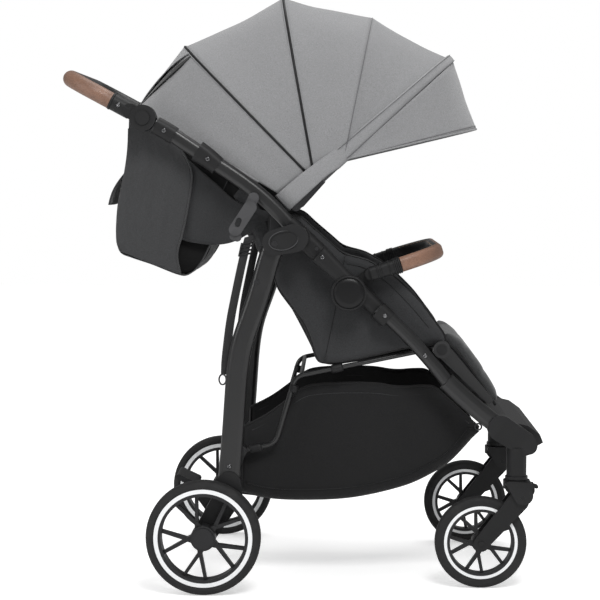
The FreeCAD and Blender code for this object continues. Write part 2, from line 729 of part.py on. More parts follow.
def arch_section(degrees, crown, foot, width):
    """Closed thin section of the fabric at one angle."""
    outer = arch_curve(degrees, crown, foot, width).toShape()
    inner = arch_curve(degrees, crown - FABRIC_T, foot, width - FABRIC_T).toShape()
    ends = [Part.makeLine(outer.Vertexes[i].Point, inner.Vertexes[i].Point) for i in (0, 1)]
    return Part.Wire(Part.sortEdges([outer, ends[0], inner, ends[1]])[0])


def fabric_panel(a, b):
    """Fabric stretched between two bows, slack by a little more than a straight chord."""
    gap = 0.55
    start, end = a[0] + math.copysign(gap, b[0] - a[0]), b[0] - math.copysign(gap, b[0] - a[0])
    middle = (start + end) / 2
    crown = (a[1] + b[1]) / 2 * math.cos(math.radians(abs(end - start) / 2)) - SLACK
    sections = [
        arch_section(start, a[1], CANOPY_FOOT, CANOPY_HALF_W),
        arch_section(middle, crown, CANOPY_FOOT, CANOPY_HALF_W - 1),
        arch_section(end, b[1], CANOPY_FOOT, CANOPY_HALF_W),
    ]
    return Part.makeLoft(sections, True, False)


def canopy_fabric():
    """Fabric panels from the rear edge to the front bow."""
    return [
        fabric_panel(CANOPY_REAR, BOW_REAR),
        fabric_panel(BOW_REAR, BOW_MID),
        fabric_panel(BOW_MID, BOW_TOP),
        fabric_panel(BOW_TOP, BOW_FRONT),
    ]


def canopy_visor():
    """Sun visor in front of the front bow."""
    def edge_curve(inset):
        places = []
        for i in range(15):
            t = math.pi * i / 14
            share = abs(math.sin(t)) ** (2 / 2.7)
            place = between(VISOR_FOOT, VISOR_TIP, share * (1 - inset / 265.0))
            side = math.copysign(abs(math.cos(t)) ** (2 / 2.7), -math.cos(t))
            places.append(point(place, side * (CANOPY_HALF_W - inset)))
        curve = Part.BSplineCurve()
        curve.interpolate(places)
        return curve.toShape()

    outer, inner = edge_curve(0.0), edge_curve(FABRIC_T)
    ends = [Part.makeLine(outer.Vertexes[i].Point, inner.Vertexes[i].Point) for i in (0, 1)]
    front = Part.Wire(Part.sortEdges([outer, ends[0], inner, ends[1]])[0])
    back = arch_section(BOW_FRONT[0] - 0.8, BOW_FRONT[1], 118.0, CANOPY_HALF_W)
    return Part.makeLoft([back, front], True, True)


def front_bow_band():
    """Hub plates of the front bow beside the canopy pivot."""
    heading = math.radians(BOW_FRONT[0])
    far = (CANOPY_PIVOT[0] + 62 * math.cos(heading), CANOPY_PIVOT[1] + 62 * math.sin(heading))
    return bar((167.4, 706.0), 9.0, far, 5.0, -204.0, -199.0)


# ---------------------------------------------------------------- bags

def basket():
    """Open-topped storage basket."""
    wall = BASKET_WALL
    floor_line = [(62.0, 164.0), (102.0, 153.0), (157.0, 151.0), (239.0, 158.0), (334.0, 174.0), (398.0, 193.0),
                  (459.0, 242.0)]
    rim_line = [(505.0, 281.0), (430.0, 366.0), (372.0, 364.0), (315.0, 370.0), (205.0, 369.0), (149.0, 340.0),
                (66.0, 289.0)]
    outer = polygon_plate(floor_line + rim_line, -BASKET_HALF_W, BASKET_HALF_W)
    steeper = 1.5
    hollow = [(62.0 + wall, 164.0 + wall)]
    hollow += [(x, z + wall) for x, z in floor_line[1:5]]
    hollow += [(x, z + wall + steeper) for x, z in floor_line[5:]]
    hollow += [(500.0, 283.5), (423.0, 371.0), (423.0, 440.0), (60.0, 440.0), (60.0 + 2 * wall, 292.0)]
    inner = polygon_plate(hollow, -BASKET_HALF_W + wall, BASKET_HALF_W - wall)
    return outer.cut(inner)


def rear_pocket():
    """Fabric pouch hanging behind the backrest."""
    outline = [(-146.0, 858.0), (-146.0, 812.0), (-153.0, 764.0), (-169.0, 704.0), (-169.0, 628.0), (-160.0, 620.0),
               (-49.0, 577.0), (-22.0, 585.0), (9.0, 633.0), (-28.0, 795.0), (-70.0, 818.0), (-110.0, 836.0)]
    return polygon_plate(outline, -POCKET_HALF_W, POCKET_HALF_W)


def brake_pedal():
    """Foot pedal that swings on the rear axle and works both brakes."""
    ring = rod(REAR_AXLE, 17.0, -34.0, 34.0)
    arm = bar(REAR_AXLE, 12.0, (-40.0, 152.0), 8.0, -16.0, 16.0)
    paddle = bar((-34.0, 160.0), 6.0, (-66.0, 176.0), 5.0, -46.0, 46.0)
    neck = bar((-36.0, 148.0), 8.0, (-40.0, 160.0), 7.0, -16.0, 16.0)
    return join([ring, arm, paddle, neck]).cut(rod(REAR_AXLE, AXLE_TUBE_R + RUNNING, -40.0, 40.0))


# ---------------------------------------------------------------- output

def write(name, solids):
    """Write one node as a STEP file in the part's own frame."""
    shape = solids[0] if len(solids) == 1 else Part.makeCompound(solids)
    shape = shape.copy()
    shape.translate(Vector(-ORIGIN_X, 0, 0))
    shape.exportStep("parts/" + name + ".step")


def build():
    """Make every piece."""
    os.makedirs("parts", exist_ok=True)
    leg, tube, front = rear_leg(), upper_tube(), front_tube()
    write("rear_legs", pair(leg))
    write("wheel_housings", pair(wheel_housing(leg)))
    write("rear_axle", [rear_axle()])
    fasteners = leg_fasteners()
    write("leg_fasteners", fasteners + [mirrored(piece) for piece in fasteners])
    write("side_straps", pair(side_strap()))
    write("basket", [basket()])
    write("brake_pedal", [brake_pedal()])

    write("upper_tubes", pair(tube))
    write("fold_housings", pair(fold_housing(tube)))
    pins = fold_pins()
    write("fold_pins", pins + [mirrored(pin) for pin in pins])
    write("front_bosses", pair(front_boss()))
    write("canopy_clamps", pair(canopy_clamp(tube)))
    write("latch_plates", pair(latch_plate()))
    rivets = upper_rivets()
    write("upper_rivets", rivets + [mirrored(rivet) for rivet in rivets])
    write("hub_bases", pair(hub_base(tube)))
    write("rear_pocket", [rear_pocket()])

    grip = round_pipe(handle_path(GRIP_START), GRIP_R).cut(round_pipe(handle_path(HANDLE_ARM_START), HANDLE_R))
    write("handle_bar", [round_pipe(handle_path(HANDLE_ARM_START), HANDLE_R)])
    write("handle_grip", [grip])
    write("hub_covers", [hub_cover(-1), hub_cover(1)])

    write("front_arms", pair(front_arm().cut(front)))
    write("front_tubes", pair(front))
    write("front_blocks", pair(front_block(front)))
    write("footrest", [footrest()])
    write("link_frame", [link_frame()])
    write("seat_pad", [seat_pad()])
    write("seat_sides", pair(seat_side()))
    write("backrest", [backrest()])
    write("harness", harness())
    write("legrest_frame", [legrest_frame()])
    write("legrest_pad", [legrest_pad()])
    cover = bumper_cover()
    inner_bar = bumper_bar()
    write("bumper_bar", [inner_bar])
    write("bumper_cover", [cover.cut(inner_bar)])

    write("canopy_bow_rear", [bow(BOW_REAR, 60.0, 5.2, BOW_WIRE_R)])
    write("canopy_bow_mid", [bow(BOW_MID, 73.0, 5.2, BOW_WIRE_R)])
    write("canopy_bow_top", [bow(BOW_TOP, 143.0, 5.2, BOW_WIRE_R)])
    write("canopy_bow_front", [bow(BOW_FRONT, 48.0, 6.0, 3.0)] + pair(front_bow_band()))
    write("canopy_fabric", canopy_fabric())
    write("canopy_visor", [canopy_visor()])

    for side, label in ((-1, "right"), (1, "left")):
        for piece, solids in rear_wheel(side).items():
            write("rear_%s_%s" % (piece, label), solids)
        for piece, solids in front_wheel(side).items():
            write("front_%s_%s" % (piece, label), solids)
        write("caster_head_" + label, [caster_hood(side)])
        write("fork_" + label, [fork(side)])
        write("swivel_lever_" + label, [swivel_lever(side)])
        write("hub_button_" + label, [hub_button(side)])
        write("legrest_button_" + label, [legrest_button(side)])


build()
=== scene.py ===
import json
import math

import bmesh
import bpy
from mathutils import Matrix, Vector, noise
from mathutils.kdtree import KDTree


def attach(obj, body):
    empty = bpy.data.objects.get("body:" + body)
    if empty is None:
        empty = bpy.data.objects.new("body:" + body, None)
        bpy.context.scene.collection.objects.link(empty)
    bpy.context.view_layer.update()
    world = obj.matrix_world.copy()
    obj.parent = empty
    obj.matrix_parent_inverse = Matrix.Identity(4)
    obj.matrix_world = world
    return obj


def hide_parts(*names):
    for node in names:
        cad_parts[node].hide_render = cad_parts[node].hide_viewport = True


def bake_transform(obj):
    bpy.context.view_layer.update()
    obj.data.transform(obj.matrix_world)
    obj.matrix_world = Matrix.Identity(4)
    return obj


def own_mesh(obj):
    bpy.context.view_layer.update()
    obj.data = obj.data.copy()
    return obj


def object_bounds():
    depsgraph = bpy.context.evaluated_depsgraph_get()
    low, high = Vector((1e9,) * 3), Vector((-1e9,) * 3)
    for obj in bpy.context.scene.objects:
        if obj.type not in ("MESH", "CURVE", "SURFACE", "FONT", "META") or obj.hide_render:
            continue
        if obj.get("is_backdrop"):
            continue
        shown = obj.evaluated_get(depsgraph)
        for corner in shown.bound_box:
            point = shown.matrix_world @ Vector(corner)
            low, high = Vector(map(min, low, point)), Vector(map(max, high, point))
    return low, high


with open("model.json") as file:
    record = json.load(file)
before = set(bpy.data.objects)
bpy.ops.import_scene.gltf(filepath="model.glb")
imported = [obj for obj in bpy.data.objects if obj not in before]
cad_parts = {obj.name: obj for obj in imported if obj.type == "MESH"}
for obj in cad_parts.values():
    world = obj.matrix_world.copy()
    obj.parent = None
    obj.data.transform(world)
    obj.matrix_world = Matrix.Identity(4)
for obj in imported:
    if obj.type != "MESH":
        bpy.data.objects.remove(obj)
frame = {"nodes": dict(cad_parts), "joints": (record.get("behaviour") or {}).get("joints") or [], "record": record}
CAD_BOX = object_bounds()

# ---------------------------------------------------------------- places taken from the frame

JOINTS = {joint["name"]: joint for joint in frame["joints"]}
AXLE = Vector(JOINTS["rear_wheel_right_spin"]["pos_m"])


def pivot(joint):
    """A joint's place on the stroller's middle plane."""
    place = JOINTS[joint]["pos_m"]
    return Vector((place[0], 0.0, place[2]))


def at(x, z, y=0.0):
    """A place x mm ahead of the rear axle, z mm above the floor and y metres to the left."""
    return Vector((AXLE.x + x / 1000, y, z / 1000))


CANOPY = pivot("canopy_fold")
BOSS = pivot("front_fold")
SLOT_OF = {sub["node"]: sub["material_slot"] for sub in frame["record"]["subparts"]}


# ---------------------------------------------------------------- shader helpers

THREAD_PITCH = 0.0011
RIB_PITCH = 0.0018
TWILL_PITCH = 0.003
TAN = (0.20, 0.108, 0.072)


class Shader:
    """A material built node by node."""

    def __init__(self, name):
        self.material = bpy.data.materials.new(name)
        self.material.use_nodes = True
        self.tree = self.material.node_tree
        self.surface = self.tree.nodes["Principled BSDF"]
        coords = self.tree.nodes.new("ShaderNodeTexCoord")
        self.object = coords.outputs["Object"]
        self.uv = coords.outputs["UV"]

    def add(self, kind, inputs=None, **settings):
        """New node with its settings and inputs; an input may be a value or another node's output."""
        node = self.tree.nodes.new("ShaderNode" + kind)
        for key, value in settings.items():
            setattr(node, key, value)
        for key, value in (inputs or {}).items():
            self.put(node.inputs[key], value)
        return node

    def put(self, socket, value):
        """Link or set one input."""
        if isinstance(value, bpy.types.NodeSocket):
            self.tree.links.new(value, socket)
        else:
            socket.default_value = value

    def noise(self, scale, detail, stretch=(1, 1, 1)):
        """Noise value between 0 and 1 in object space, scale in cycles per metre."""
        place = self.add("Mapping", {"Vector": self.object, "Scale": stretch})
        texture = self.add("TexNoise", {"Vector": place.outputs[0], "Scale": scale, "Detail": detail})
        return texture.outputs["Fac"]

    def cells(self, scale, feature="F1"):
        """Voronoi distance in object space."""
        texture = self.add("TexVoronoi", {"Vector": self.object, "Scale": scale}, feature=feature)
        return texture.outputs["Distance"]

    def math(self, operation, a, b=0.0):
        """One arithmetic step."""
        node = self.add("Math", operation=operation)
        self.put(node.inputs[0], a)
        self.put(node.inputs[1], b)
        return node.outputs[0]

    def span(self, value, low, high, to_low, to_high):
        """Map a value from one range to another, clamped."""
        return self.add("MapRange", {"Value": value, "From Min": low, "From Max": high, "To Min": to_low,
                                     "To Max": to_high}).outputs[0]

    def tint(self, factor, a, b):
        """Blend two colours by a factor."""
        node = self.add("Mix", data_type="RGBA")
        self.put(node.inputs[0], factor)
        self.put(node.inputs[6], a if isinstance(a, bpy.types.NodeSocket) else (*a, 1.0))
        self.put(node.inputs[7], b if isinstance(b, bpy.types.NodeSocket) else (*b, 1.0))
        return node.outputs[2]

    def bump(self, height, strength, distance, after=None):
        """Bump from a height value, distance in metres."""
        node = self.add("Bump", {"Height": height, "Strength": strength, "Distance": distance})
        if after is not None:
            self.put(node.inputs["Normal"], after)
        return node.outputs[0]

    def finish(self, **inputs):
        """Set the surface's inputs by name and return the material."""
        for key, value in inputs.items():
            self.put(self.surface.inputs[key.replace("_", " ")], value)
        return self.material


def shade(colour, share):
    """A colour made lighter or darker."""
    return tuple(min(1.0, c * share) for c in colour)


def coated_metal(name, colour):
    """Satin powder coat with fine orange peel and rubbed edges."""
    s = Shader(name)
    peel = s.noise(1400, 2)
    cloud = s.noise(9, 4)
    edge = s.span(s.add("NewGeometry").outputs["Pointiness"], 0.53, 0.62, 0.0, 0.35)
    base = s.tint(cloud, shade(colour, 0.85), shade(colour, 1.2))
    base = s.tint(edge, base, shade(colour, 3.0))
    return s.finish(Base_Color=base, Roughness=s.span(cloud, 0.3, 0.7, 0.30, 0.40), Metallic=0.0,
                    Specular_IOR_Level=0.6, Normal=s.bump(peel, 0.12, 0.0002))


def moulded(name, colour, rough=0.5, grain=1800):
    """Injection-moulded plastic with a fine spark-eroded grain."""
    s = Shader(name)
    sparks = s.noise(grain, 3)
    cloud = s.noise(14, 3)
    edge = s.span(s.add("NewGeometry").outputs["Pointiness"], 0.54, 0.64, 0.0, 0.3)
    base = s.tint(cloud, shade(colour, 0.88), shade(colour, 1.15))
    base = s.tint(edge, base, shade(colour, 2.2))
    return s.finish(Base_Color=base, Roughness=s.span(sparks, 0.3, 0.7, rough - 0.07, rough + 0.09),
                    Specular_IOR_Level=0.3, Normal=s.bump(sparks, 0.25, 0.0002))


def foam_rubber(name, colour):
    """Foam tyre: dull, slightly pitted, dusty on the tread."""
    s = Shader(name)
    pits = s.noise(900, 4)
    dust = s.noise(30, 5)
    base = s.tint(s.span(dust, 0.5, 0.8, 0.0, 0.35), colour, (0.06, 0.058, 0.055))
    return s.finish(Base_Color=base, Roughness=s.span(dust, 0.3, 0.7, 0.72, 0.88),
                    Normal=s.bump(pits, 0.3, 0.0003))


def metal(name, colour, rough):
    """Bare metal with fine scratches along one direction."""
    s = Shader(name)
    lines = s.noise(500, 4, stretch=(1, 1, 12))
    return s.finish(Base_Color=s.tint(lines, shade(colour, 0.75), shade(colour, 1.2)), Metallic=1.0,
                    Roughness=s.span(lines, 0.3, 0.7, rough - 0.08, rough + 0.1),
                    Normal=s.bump(lines, 0.08, 0.0001))


def gloss(name, colour):
    """Glossy trim with faint scuffs."""
    s = Shader(name)
    scuff = s.noise(220, 5)
    base = s.tint(s.span(scuff, 0.55, 0.75, 0.0, 0.25), colour, shade(colour, 0.8))
    return s.finish(Base_Color=base, Roughness=s.span(scuff, 0.3, 0.7, 0.16, 0.3), Coat_Weight=0.4,
                    Normal=s.bump(scuff, 0.03, 0.0001))


def leather(name, colour, middle):
    """Pebbled tan leather, paler where hands rub it, with painted shade in the creases of its grain, black on the
    side that faces the middle of the loop.
    """
    s = Shader(name)
    facing = s.add("VectorMath", {0: middle, 1: s.object}, operation="SUBTRACT").outputs[0]
    normal_out = s.tree.nodes["Texture Coordinate"].outputs["Normal"]
    facing = s.add("VectorMath", {0: facing}, operation="NORMALIZE").outputs[0]
    inside = s.add("VectorMath", {0: facing, 1: normal_out}, operation="DOT_PRODUCT").outputs["Value"]
    pebble = s.cells(520)
    crease = s.cells(210, "DISTANCE_TO_EDGE")
    wear = s.noise(26, 5)
    speck = s.noise(700, 3)
    base = s.tint(s.span(wear, 0.35, 0.7, 0.0, 0.6), shade(colour, 0.82), shade(colour, 1.5))
    base = s.tint(s.span(speck, 0.52, 0.7, 0.0, 0.5), base, shade(colour, 0.55))
    # Painted shade: the colour is darkened in the creases of the grain.
    base = s.tint(s.span(crease, 0.0, 0.06, 0.45, 0.0), base, shade(colour, 0.4))
    base = s.tint(s.span(inside, -0.14, -0.08, 0.0, 1.0), base, (0.012, 0.012, 0.0125))
    normal = s.bump(pebble, 0.45, 0.0006)
    normal = s.bump(s.span(crease, 0.0, 0.12, 0.0, 1.0), 0.3, 0.0004, normal)
    return s.finish(Base_Color=base, Roughness=s.span(wear, 0.3, 0.7, 0.5, 0.38), Normal=normal)


def cloth(name, colour, contrast=0.3, sheen=0.25):
    """Woven cloth: warp and weft from the piece's own map, melange yarn and soft fading."""
    s = Shader(name)
    split = s.add("SeparateXYZ", {"Vector": s.uv})
    waves = []
    for axis in (0, 1):
        turn = s.math("MULTIPLY", split.outputs[axis], 2 * math.pi / THREAD_PITCH)
        waves.append(s.math("SINE", turn))
    weave = s.math("MULTIPLY", waves[0], waves[1])
    yarn = s.noise(420, 4, stretch=(1, 1, 5))
    weft = s.noise(420, 4, stretch=(5, 1, 1))
    slub = s.math("MULTIPLY", s.math("ADD", yarn, weft), 0.5)
    fade = s.noise(5, 3)
    dark, light = shade(colour, 1 - contrast), shade(colour, 1 + contrast)
    base = s.tint(s.span(slub, 0.38, 0.62, 0.0, 1.0), dark, light)
    base = s.tint(s.span(fade, 0.3, 0.7, 0.0, 0.22), base, shade(colour, 0.8))
    height = s.math("ADD", s.math("MULTIPLY", weave, 0.5), slub)
    return s.finish(Base_Color=base, Roughness=0.88, Sheen_Weight=sheen, Sheen_Roughness=0.45,
                    Specular_IOR_Level=0.25, Normal=s.bump(height, 0.5, 0.00035))


def nubby(name, colour, contrast=0.3, sheen=0.2):
    """Padded cloth without a map: a fine knitted nub all over."""
    s = Shader(name)
    knit = s.cells(780)
    slub = s.noise(500, 4)
    fade = s.noise(7, 3)
    dark, light = shade(colour, 1 - contrast), shade(colour, 1 + contrast)
    base = s.tint(s.span(slub, 0.36, 0.64, 0.0, 1.0), dark, light)
    base = s.tint(s.span(fade, 0.3, 0.7, 0.0, 0.25), base, shade(colour, 0.75))
    base = s.tint(s.span(knit, 0.3, 0.7, 0.0, 0.4), base, shade(colour, 0.5))
    return s.finish(Base_Color=base, Roughness=0.9, Sheen_Weight=sheen, Sheen_Roughness=0.5,
                    Specular_IOR_Level=0.2, Normal=s.bump(knit, 0.5, 0.0005))


def webbing(name, colour):
    """Ribbed woven tape."""
    s = Shader(name)
    split = s.add("SeparateXYZ", {"Vector": s.uv})
    slant = s.math("ADD", split.outputs[0], split.outputs[1])
    rib = s.math("SINE", s.math("MULTIPLY", split.outputs[0], 2 * math.pi / RIB_PITCH))
    twill = s.math("SINE", s.math("MULTIPLY", slant, 2 * math.pi / TWILL_PITCH))
    base = s.tint(s.span(rib, -1, 1, 0, 1), shade(colour, 0.6), shade(colour, 1.6))
    return s.finish(Base_Color=base, Roughness=0.8, Sheen_Weight=0.15,
                    Normal=s.bump(s.math("ADD", rib, twill), 0.6, 0.0003))


PAINT = {
    "frame_black": coated_metal("frame_black", (0.007, 0.007, 0.0075)),
    "moulding": moulded("moulding", (0.009, 0.009, 0.0095)),
    "moulding_grey": moulded("moulding_grey", (0.045, 0.045, 0.047), 0.5),
    "steel_dark": metal("steel_dark", (0.07, 0.07, 0.073), 0.3),
    "tyre": foam_rubber("tyre", (0.010, 0.010, 0.0105)),
    "rim": moulded("rim", (0.014, 0.014, 0.015), 0.42),
    "ring_white": gloss("ring_white", (0.80, 0.81, 0.82)),
    "leather": leather("leather", TAN, tuple(at(-190, 905))),
    "seat_fabric": nubby("seat_fabric", (0.028, 0.0285, 0.030)),
    "canopy_fabric": cloth("canopy_fabric", (0.232, 0.233, 0.238), 0.24),
    "basket_fabric": cloth("basket_fabric", (0.011, 0.011, 0.0115), sheen=0.12),
    "webbing": webbing("webbing", (0.011, 0.011, 0.012)),
}
CANOPY_CLOTH = PAINT["canopy_fabric"]
BASKET_CLOTH = PAINT["basket_fabric"]
SEAT_CLOTH = PAINT["seat_fabric"]
WEBBING = PAINT["webbing"]
MOULDING = PAINT["moulding"]
MOULDING_GREY = PAINT["moulding_grey"]
STEEL = PAINT["steel_dark"]
BUMPER_LEATHER = leather("bumper_leather", TAN, tuple(at(360, 600)))
POCKET_CLOTH = cloth("pocket_fabric", (0.042, 0.0425, 0.044))
SIDE_CLOTH = cloth("side_fabric", (0.030, 0.0305, 0.032), sheen=0.2)
LEG_CLOTH = nubby("leg_fabric", (0.045, 0.046, 0.047), 0.25, sheen=0.35)
PIPING = moulded("piping_cord", (0.006, 0.006, 0.0065), 0.45)
SEAM_GREY = nubby("seam_grey", (0.13, 0.13, 0.135), 0.2)
THREAD = nubby("thread_tan", (0.36, 0.25, 0.17), 0.2)
LID = moulded("hinge_lid", (0.004, 0.004, 0.0045), 0.36, 2600)
RIVET = metal("rivet_steel", (0.16, 0.16, 0.165), 0.24)
# Near-black cloth as painted shade: the dark inside of the rear pocket and the dark band under the upper tube
# behind the curtain.
PAINTED_SHADE_CLOTH = cloth("pocket_lining", (0.006, 0.006, 0.0062), sheen=0.08)
# Near-black mesh cloth for the vent's gap, dark as painted shadow under the flap.
MESH_AND_SHADOW_CLOTH = nubby("mesh_and_painted_shadow", (0.012, 0.012, 0.012), 0.4)


# ---------------------------------------------------------------- mesh helpers

CLOTH_FRAMES = 20


def new_object(name, verts, faces, material, uvs=None):
    """Smooth mesh object from vertices, faces and one map coordinate per vertex."""
    mesh = bpy.data.meshes.new(name)
    mesh.from_pydata([tuple(v) for v in verts], [], faces)
    mesh.update()
    if uvs:
        layer = mesh.uv_layers.new(name="map")
        for loop in mesh.loops:
            layer.data[loop.index].uv = uvs[loop.vertex_index]
    mesh.shade_smooth()
    obj = bpy.data.objects.new(name, mesh)
    bpy.context.scene.collection.objects.link(obj)
    obj.data.materials.append(material)
    return obj


def apply_modifiers(obj):
    """Bake an object's modifiers into its mesh."""
    graph = bpy.context.evaluated_depsgraph_get()
    final = obj.evaluated_get(graph)
    mesh = bpy.data.meshes.new_from_object(final, preserve_all_data_layers=True, depsgraph=graph)
    obj.modifiers.clear()
    obj.data = mesh


def tube_faces(rings, around, closed=False):
    """Faces over rings of points numbered one after another; an open tube gets its two ends."""
    faces = []
    for i in range(rings if closed else rings - 1):
        here, ahead = i * around, (i + 1) % rings * around
        for k in range(around):
            n = (k + 1) % around
            faces.append((here + k, here + n, ahead + n, ahead + k))
    if not closed:
        faces.append(tuple(reversed(range(around))))
        faces.append(tuple(range((rings - 1) * around, rings * around)))
    return faces


def bent(value, power):
    """A value raised to a power with its sign kept."""
    return math.copysign(abs(value) ** power, value)


def sheet(name, place, rows, columns, material, thickness, size):
    """Curved fabric sheet from place(u, v), u and v from 0 to 1, with map coordinates in metres."""
    verts, uvs, faces = [], [], []
    for i in range(rows + 1):
        for j in range(columns + 1):
            u, v = i / rows, j / columns
            verts.append(place(u, v))
            uvs.append((u * size[0], v * size[1]))
    for i in range(rows):
        for j in range(columns):
            a = i * (columns + 1) + j
            faces.append((a, a + 1, a + columns + 2, a + columns + 1))
    obj = new_object(name, verts, faces, material, uvs)
    solid = obj.modifiers.new("thickness", "SOLIDIFY")
    solid.thickness = thickness
    solid.offset = 0.0
    solid.use_even_offset = False
    apply_modifiers(obj)
    return obj


def spline(points, count, closed=False):
    """Evenly numbered points on a Catmull-Rom curve."""
    points = [Vector(p) for p in points]
    last = len(points) if closed else len(points) - 1
    result = []
    for k in range(count):
        t = k / (count if closed else count - 1) * last
        i = min(int(t), last - 1)
        f = t - i
        if closed:
            a, b, c, d = (points[(i + n) % len(points)] for n in (-1, 0, 1, 2))
        else:
            b, c = points[i], points[i + 1]
            a = points[i - 1] if i > 0 else b * 2 - c
            d = points[i + 2] if i + 2 < len(points) else c * 2 - b
        result.append(0.5 * ((2 * b) + (c - a) * f + (2 * a - 5 * b + 4 * c - d) * f * f
                             + (3 * b - a - 3 * c + d) * f * f * f))
    return result


def frames_along(path, closed, up):
    """Tangent, side and up vectors carried along a path without twist."""
    count = len(path)
    frames = []
    side = None
    for i, here in enumerate(path):
        ahead = path[(i + 1) % count] if closed or i + 1 < count else here
        behind = path[i - 1] if closed or i > 0 else here
        tangent = (ahead - behind).normalized()
        if up is not None:
            side = up.cross(tangent)
            side = side.normalized() if side.length > 1e-6 else Vector((0, 1, 0))
        elif side is None:
            side = tangent.orthogonal().normalized()
        else:
            side = (side - tangent * side.dot(tangent)).normalized()
        frames.append((tangent, side, tangent.cross(side)))
    return frames


def cord(name, path, radius, material, closed=False, sides=8, flat=1.0, up=None):
    """Round or flattened cord along a path: flat is the height as a share of the width."""
    verts, uvs = [], []
    frames = frames_along(path, closed, up)
    length = 0.0
    for i, (here, (_, side, top)) in enumerate(zip(path, frames)):
        length += (here - path[i - 1]).length if i else 0.0
        r = radius(i / max(1, len(path) - 1)) if callable(radius) else radius
        for k in range(sides):
            angle = 2 * math.pi * k / sides
            verts.append(here + side * r * math.cos(angle) + top * r * flat * math.sin(angle))
            uvs.append((length, r * angle))
    return new_object(name, verts, tube_faces(len(path), sides, closed), material, uvs)


def tape(name, path, width, thickness, material, across):
    """Flat webbing along a path; across is the direction of its width."""
    verts, uvs = [], []
    length = 0.0
    across = across.normalized()
    half, edge, t = width / 2, width / 2 - thickness / 2, thickness / 2
    crown = t * 1.1
    section = ((-half, 0), (-edge, -t), (0, -crown), (edge, -t), (half, 0), (edge, t), (0, crown), (-edge, t))
    for i, here in enumerate(path):
        length += (here - path[i - 1]).length if i else 0.0
        ahead = path[min(i + 1, len(path) - 1)] - path[max(i - 1, 0)]
        normal = ahead.cross(across).normalized()
        for dx, dn in section:
            verts.append(here + across * dx + normal * dn)
            uvs.append((length, dx))
    return new_object(name, verts, tube_faces(len(path), len(section)), material, uvs)


def turned_part(name, centre, axis, profile, material, segments):
    """Solid of revolution from (distance along axis, radius) pairs that start and end on the axis."""
    axis = axis.normalized()
    side = axis.orthogonal().normalized()
    top = axis.cross(side)
    verts, faces, rings = [], [], []
    for along, radius in profile:
        count = segments if radius > 0 else 1
        rings.append(range(len(verts), len(verts) + count))
        for k in range(count):
            angle = 2 * math.pi * k / count
            reach = side * radius * math.cos(angle) + top * radius * math.sin(angle)
            verts.append(centre + axis * along + reach)
    for low, high in zip(rings, rings[1:]):
        for k in range(segments):
            n = (k + 1) % segments
            if len(low) == 1:
                faces.append((low[0], high[n], high[k]))
            elif len(high) == 1:
                faces.append((low[k], low[n], high[0]))
            else:
                faces.append((low[k], low[n], high[n], high[k]))
    return new_object(name, verts, faces, material)


def merged(name, objects):
    """Join several objects that share one material into one."""
    verts, faces, uvs = [], [], []
    for obj in objects:
        start = len(verts)
        verts += [v.co.copy() for v in obj.data.vertices]
        faces += [tuple(start + i for i in p.vertices) for p in obj.data.polygons]
        per_vertex = [(0.0, 0.0)] * len(obj.data.vertices)
        if obj.data.uv_layers:
            for loop in obj.data.loops:
                per_vertex[loop.vertex_index] = tuple(obj.data.uv_layers[0].data[loop.index].uv)
        uvs += per_vertex
    material = objects[0].data.materials[0]
    for obj in objects:
        bpy.data.objects.remove(obj)
    return new_object(name, verts, faces, material, uvs)


def mirror_copy(obj, name):
    """The same piece on the other side of the middle plane."""
    flipped = obj.copy()
    flipped.data = obj.data.copy()
    flipped.name = name
    flipped.data.transform(Matrix.Scale(-1, 4, Vector((0, 1, 0))))
    flipped.data.flip_normals()
    bpy.context.scene.collection.objects.link(flipped)
    return flipped


def in_plane(points, y):
    """Places moved sideways into the side plane at y."""
    return [Vector((p.x, y, p.z)) for p in points]


def slab_between(name, outline, y0, y1, material):
    """Closed slab between two side planes from a list of places; used as the start of a cushion."""
    verts = in_plane(outline, y0) + in_plane(outline, y1)
    obj = new_object(name, verts, tube_faces(2, len(outline)), material)
    bm = bmesh.new()
    bm.from_mesh(obj.data)
    bmesh.ops.recalc_face_normals(bm, faces=bm.faces)
    bm.to_mesh(obj.data)
    bm.free()
    return obj


def puff(obj, voxel, pressure, cap, seams=(), spread=1.0):
    """Inflate a closed slab as cloth within cap of its start; spread scales the move in the side plane."""
    remesh = obj.modifiers.new("remesh", "REMESH")
    remesh.mode = "VOXEL"
    remesh.voxel_size = voxel
    apply_modifiers(obj)
    soften = obj.modifiers.new("soften", "SMOOTH")
    soften.iterations = 6
    soften.factor = 0.6
    apply_modifiers(obj)
    start = [v.co.copy() for v in obj.data.vertices]
    soft = obj.modifiers.new("cloth", "CLOTH")
    soft.settings.use_pressure = True
    soft.settings.uniform_pressure_force = pressure
    soft.settings.effector_weights.gravity = 0.0
    soft.settings.quality = 4
    soft.settings.tension_stiffness = 12
    soft.settings.compression_stiffness = 12
    soft.settings.shear_stiffness = 6
    soft.settings.bending_stiffness = 0.6
    soft.point_cache.frame_start = 1
    soft.point_cache.frame_end = CLOTH_FRAMES
    for number in range(1, CLOTH_FRAMES + 1):
        bpy.context.scene.frame_set(number)
    apply_modifiers(obj)
    for vertex, home in zip(obj.data.vertices, start):
        move = vertex.co - home
        move = Vector((move.x * spread, move.y, move.z * spread))
        vertex.co = home + move * min(1.0, cap / max(1e-9, move.length))
    bpy.context.scene.frame_set(1)
    press_seams(obj, seams)
    relax = obj.modifiers.new("relax", "SMOOTH")
    relax.iterations = 3
    finer = obj.modifiers.new("finer", "SUBSURF")
    finer.levels = 1
    finer.render_levels = 1
    apply_modifiers(obj)
    obj.data.shade_smooth()


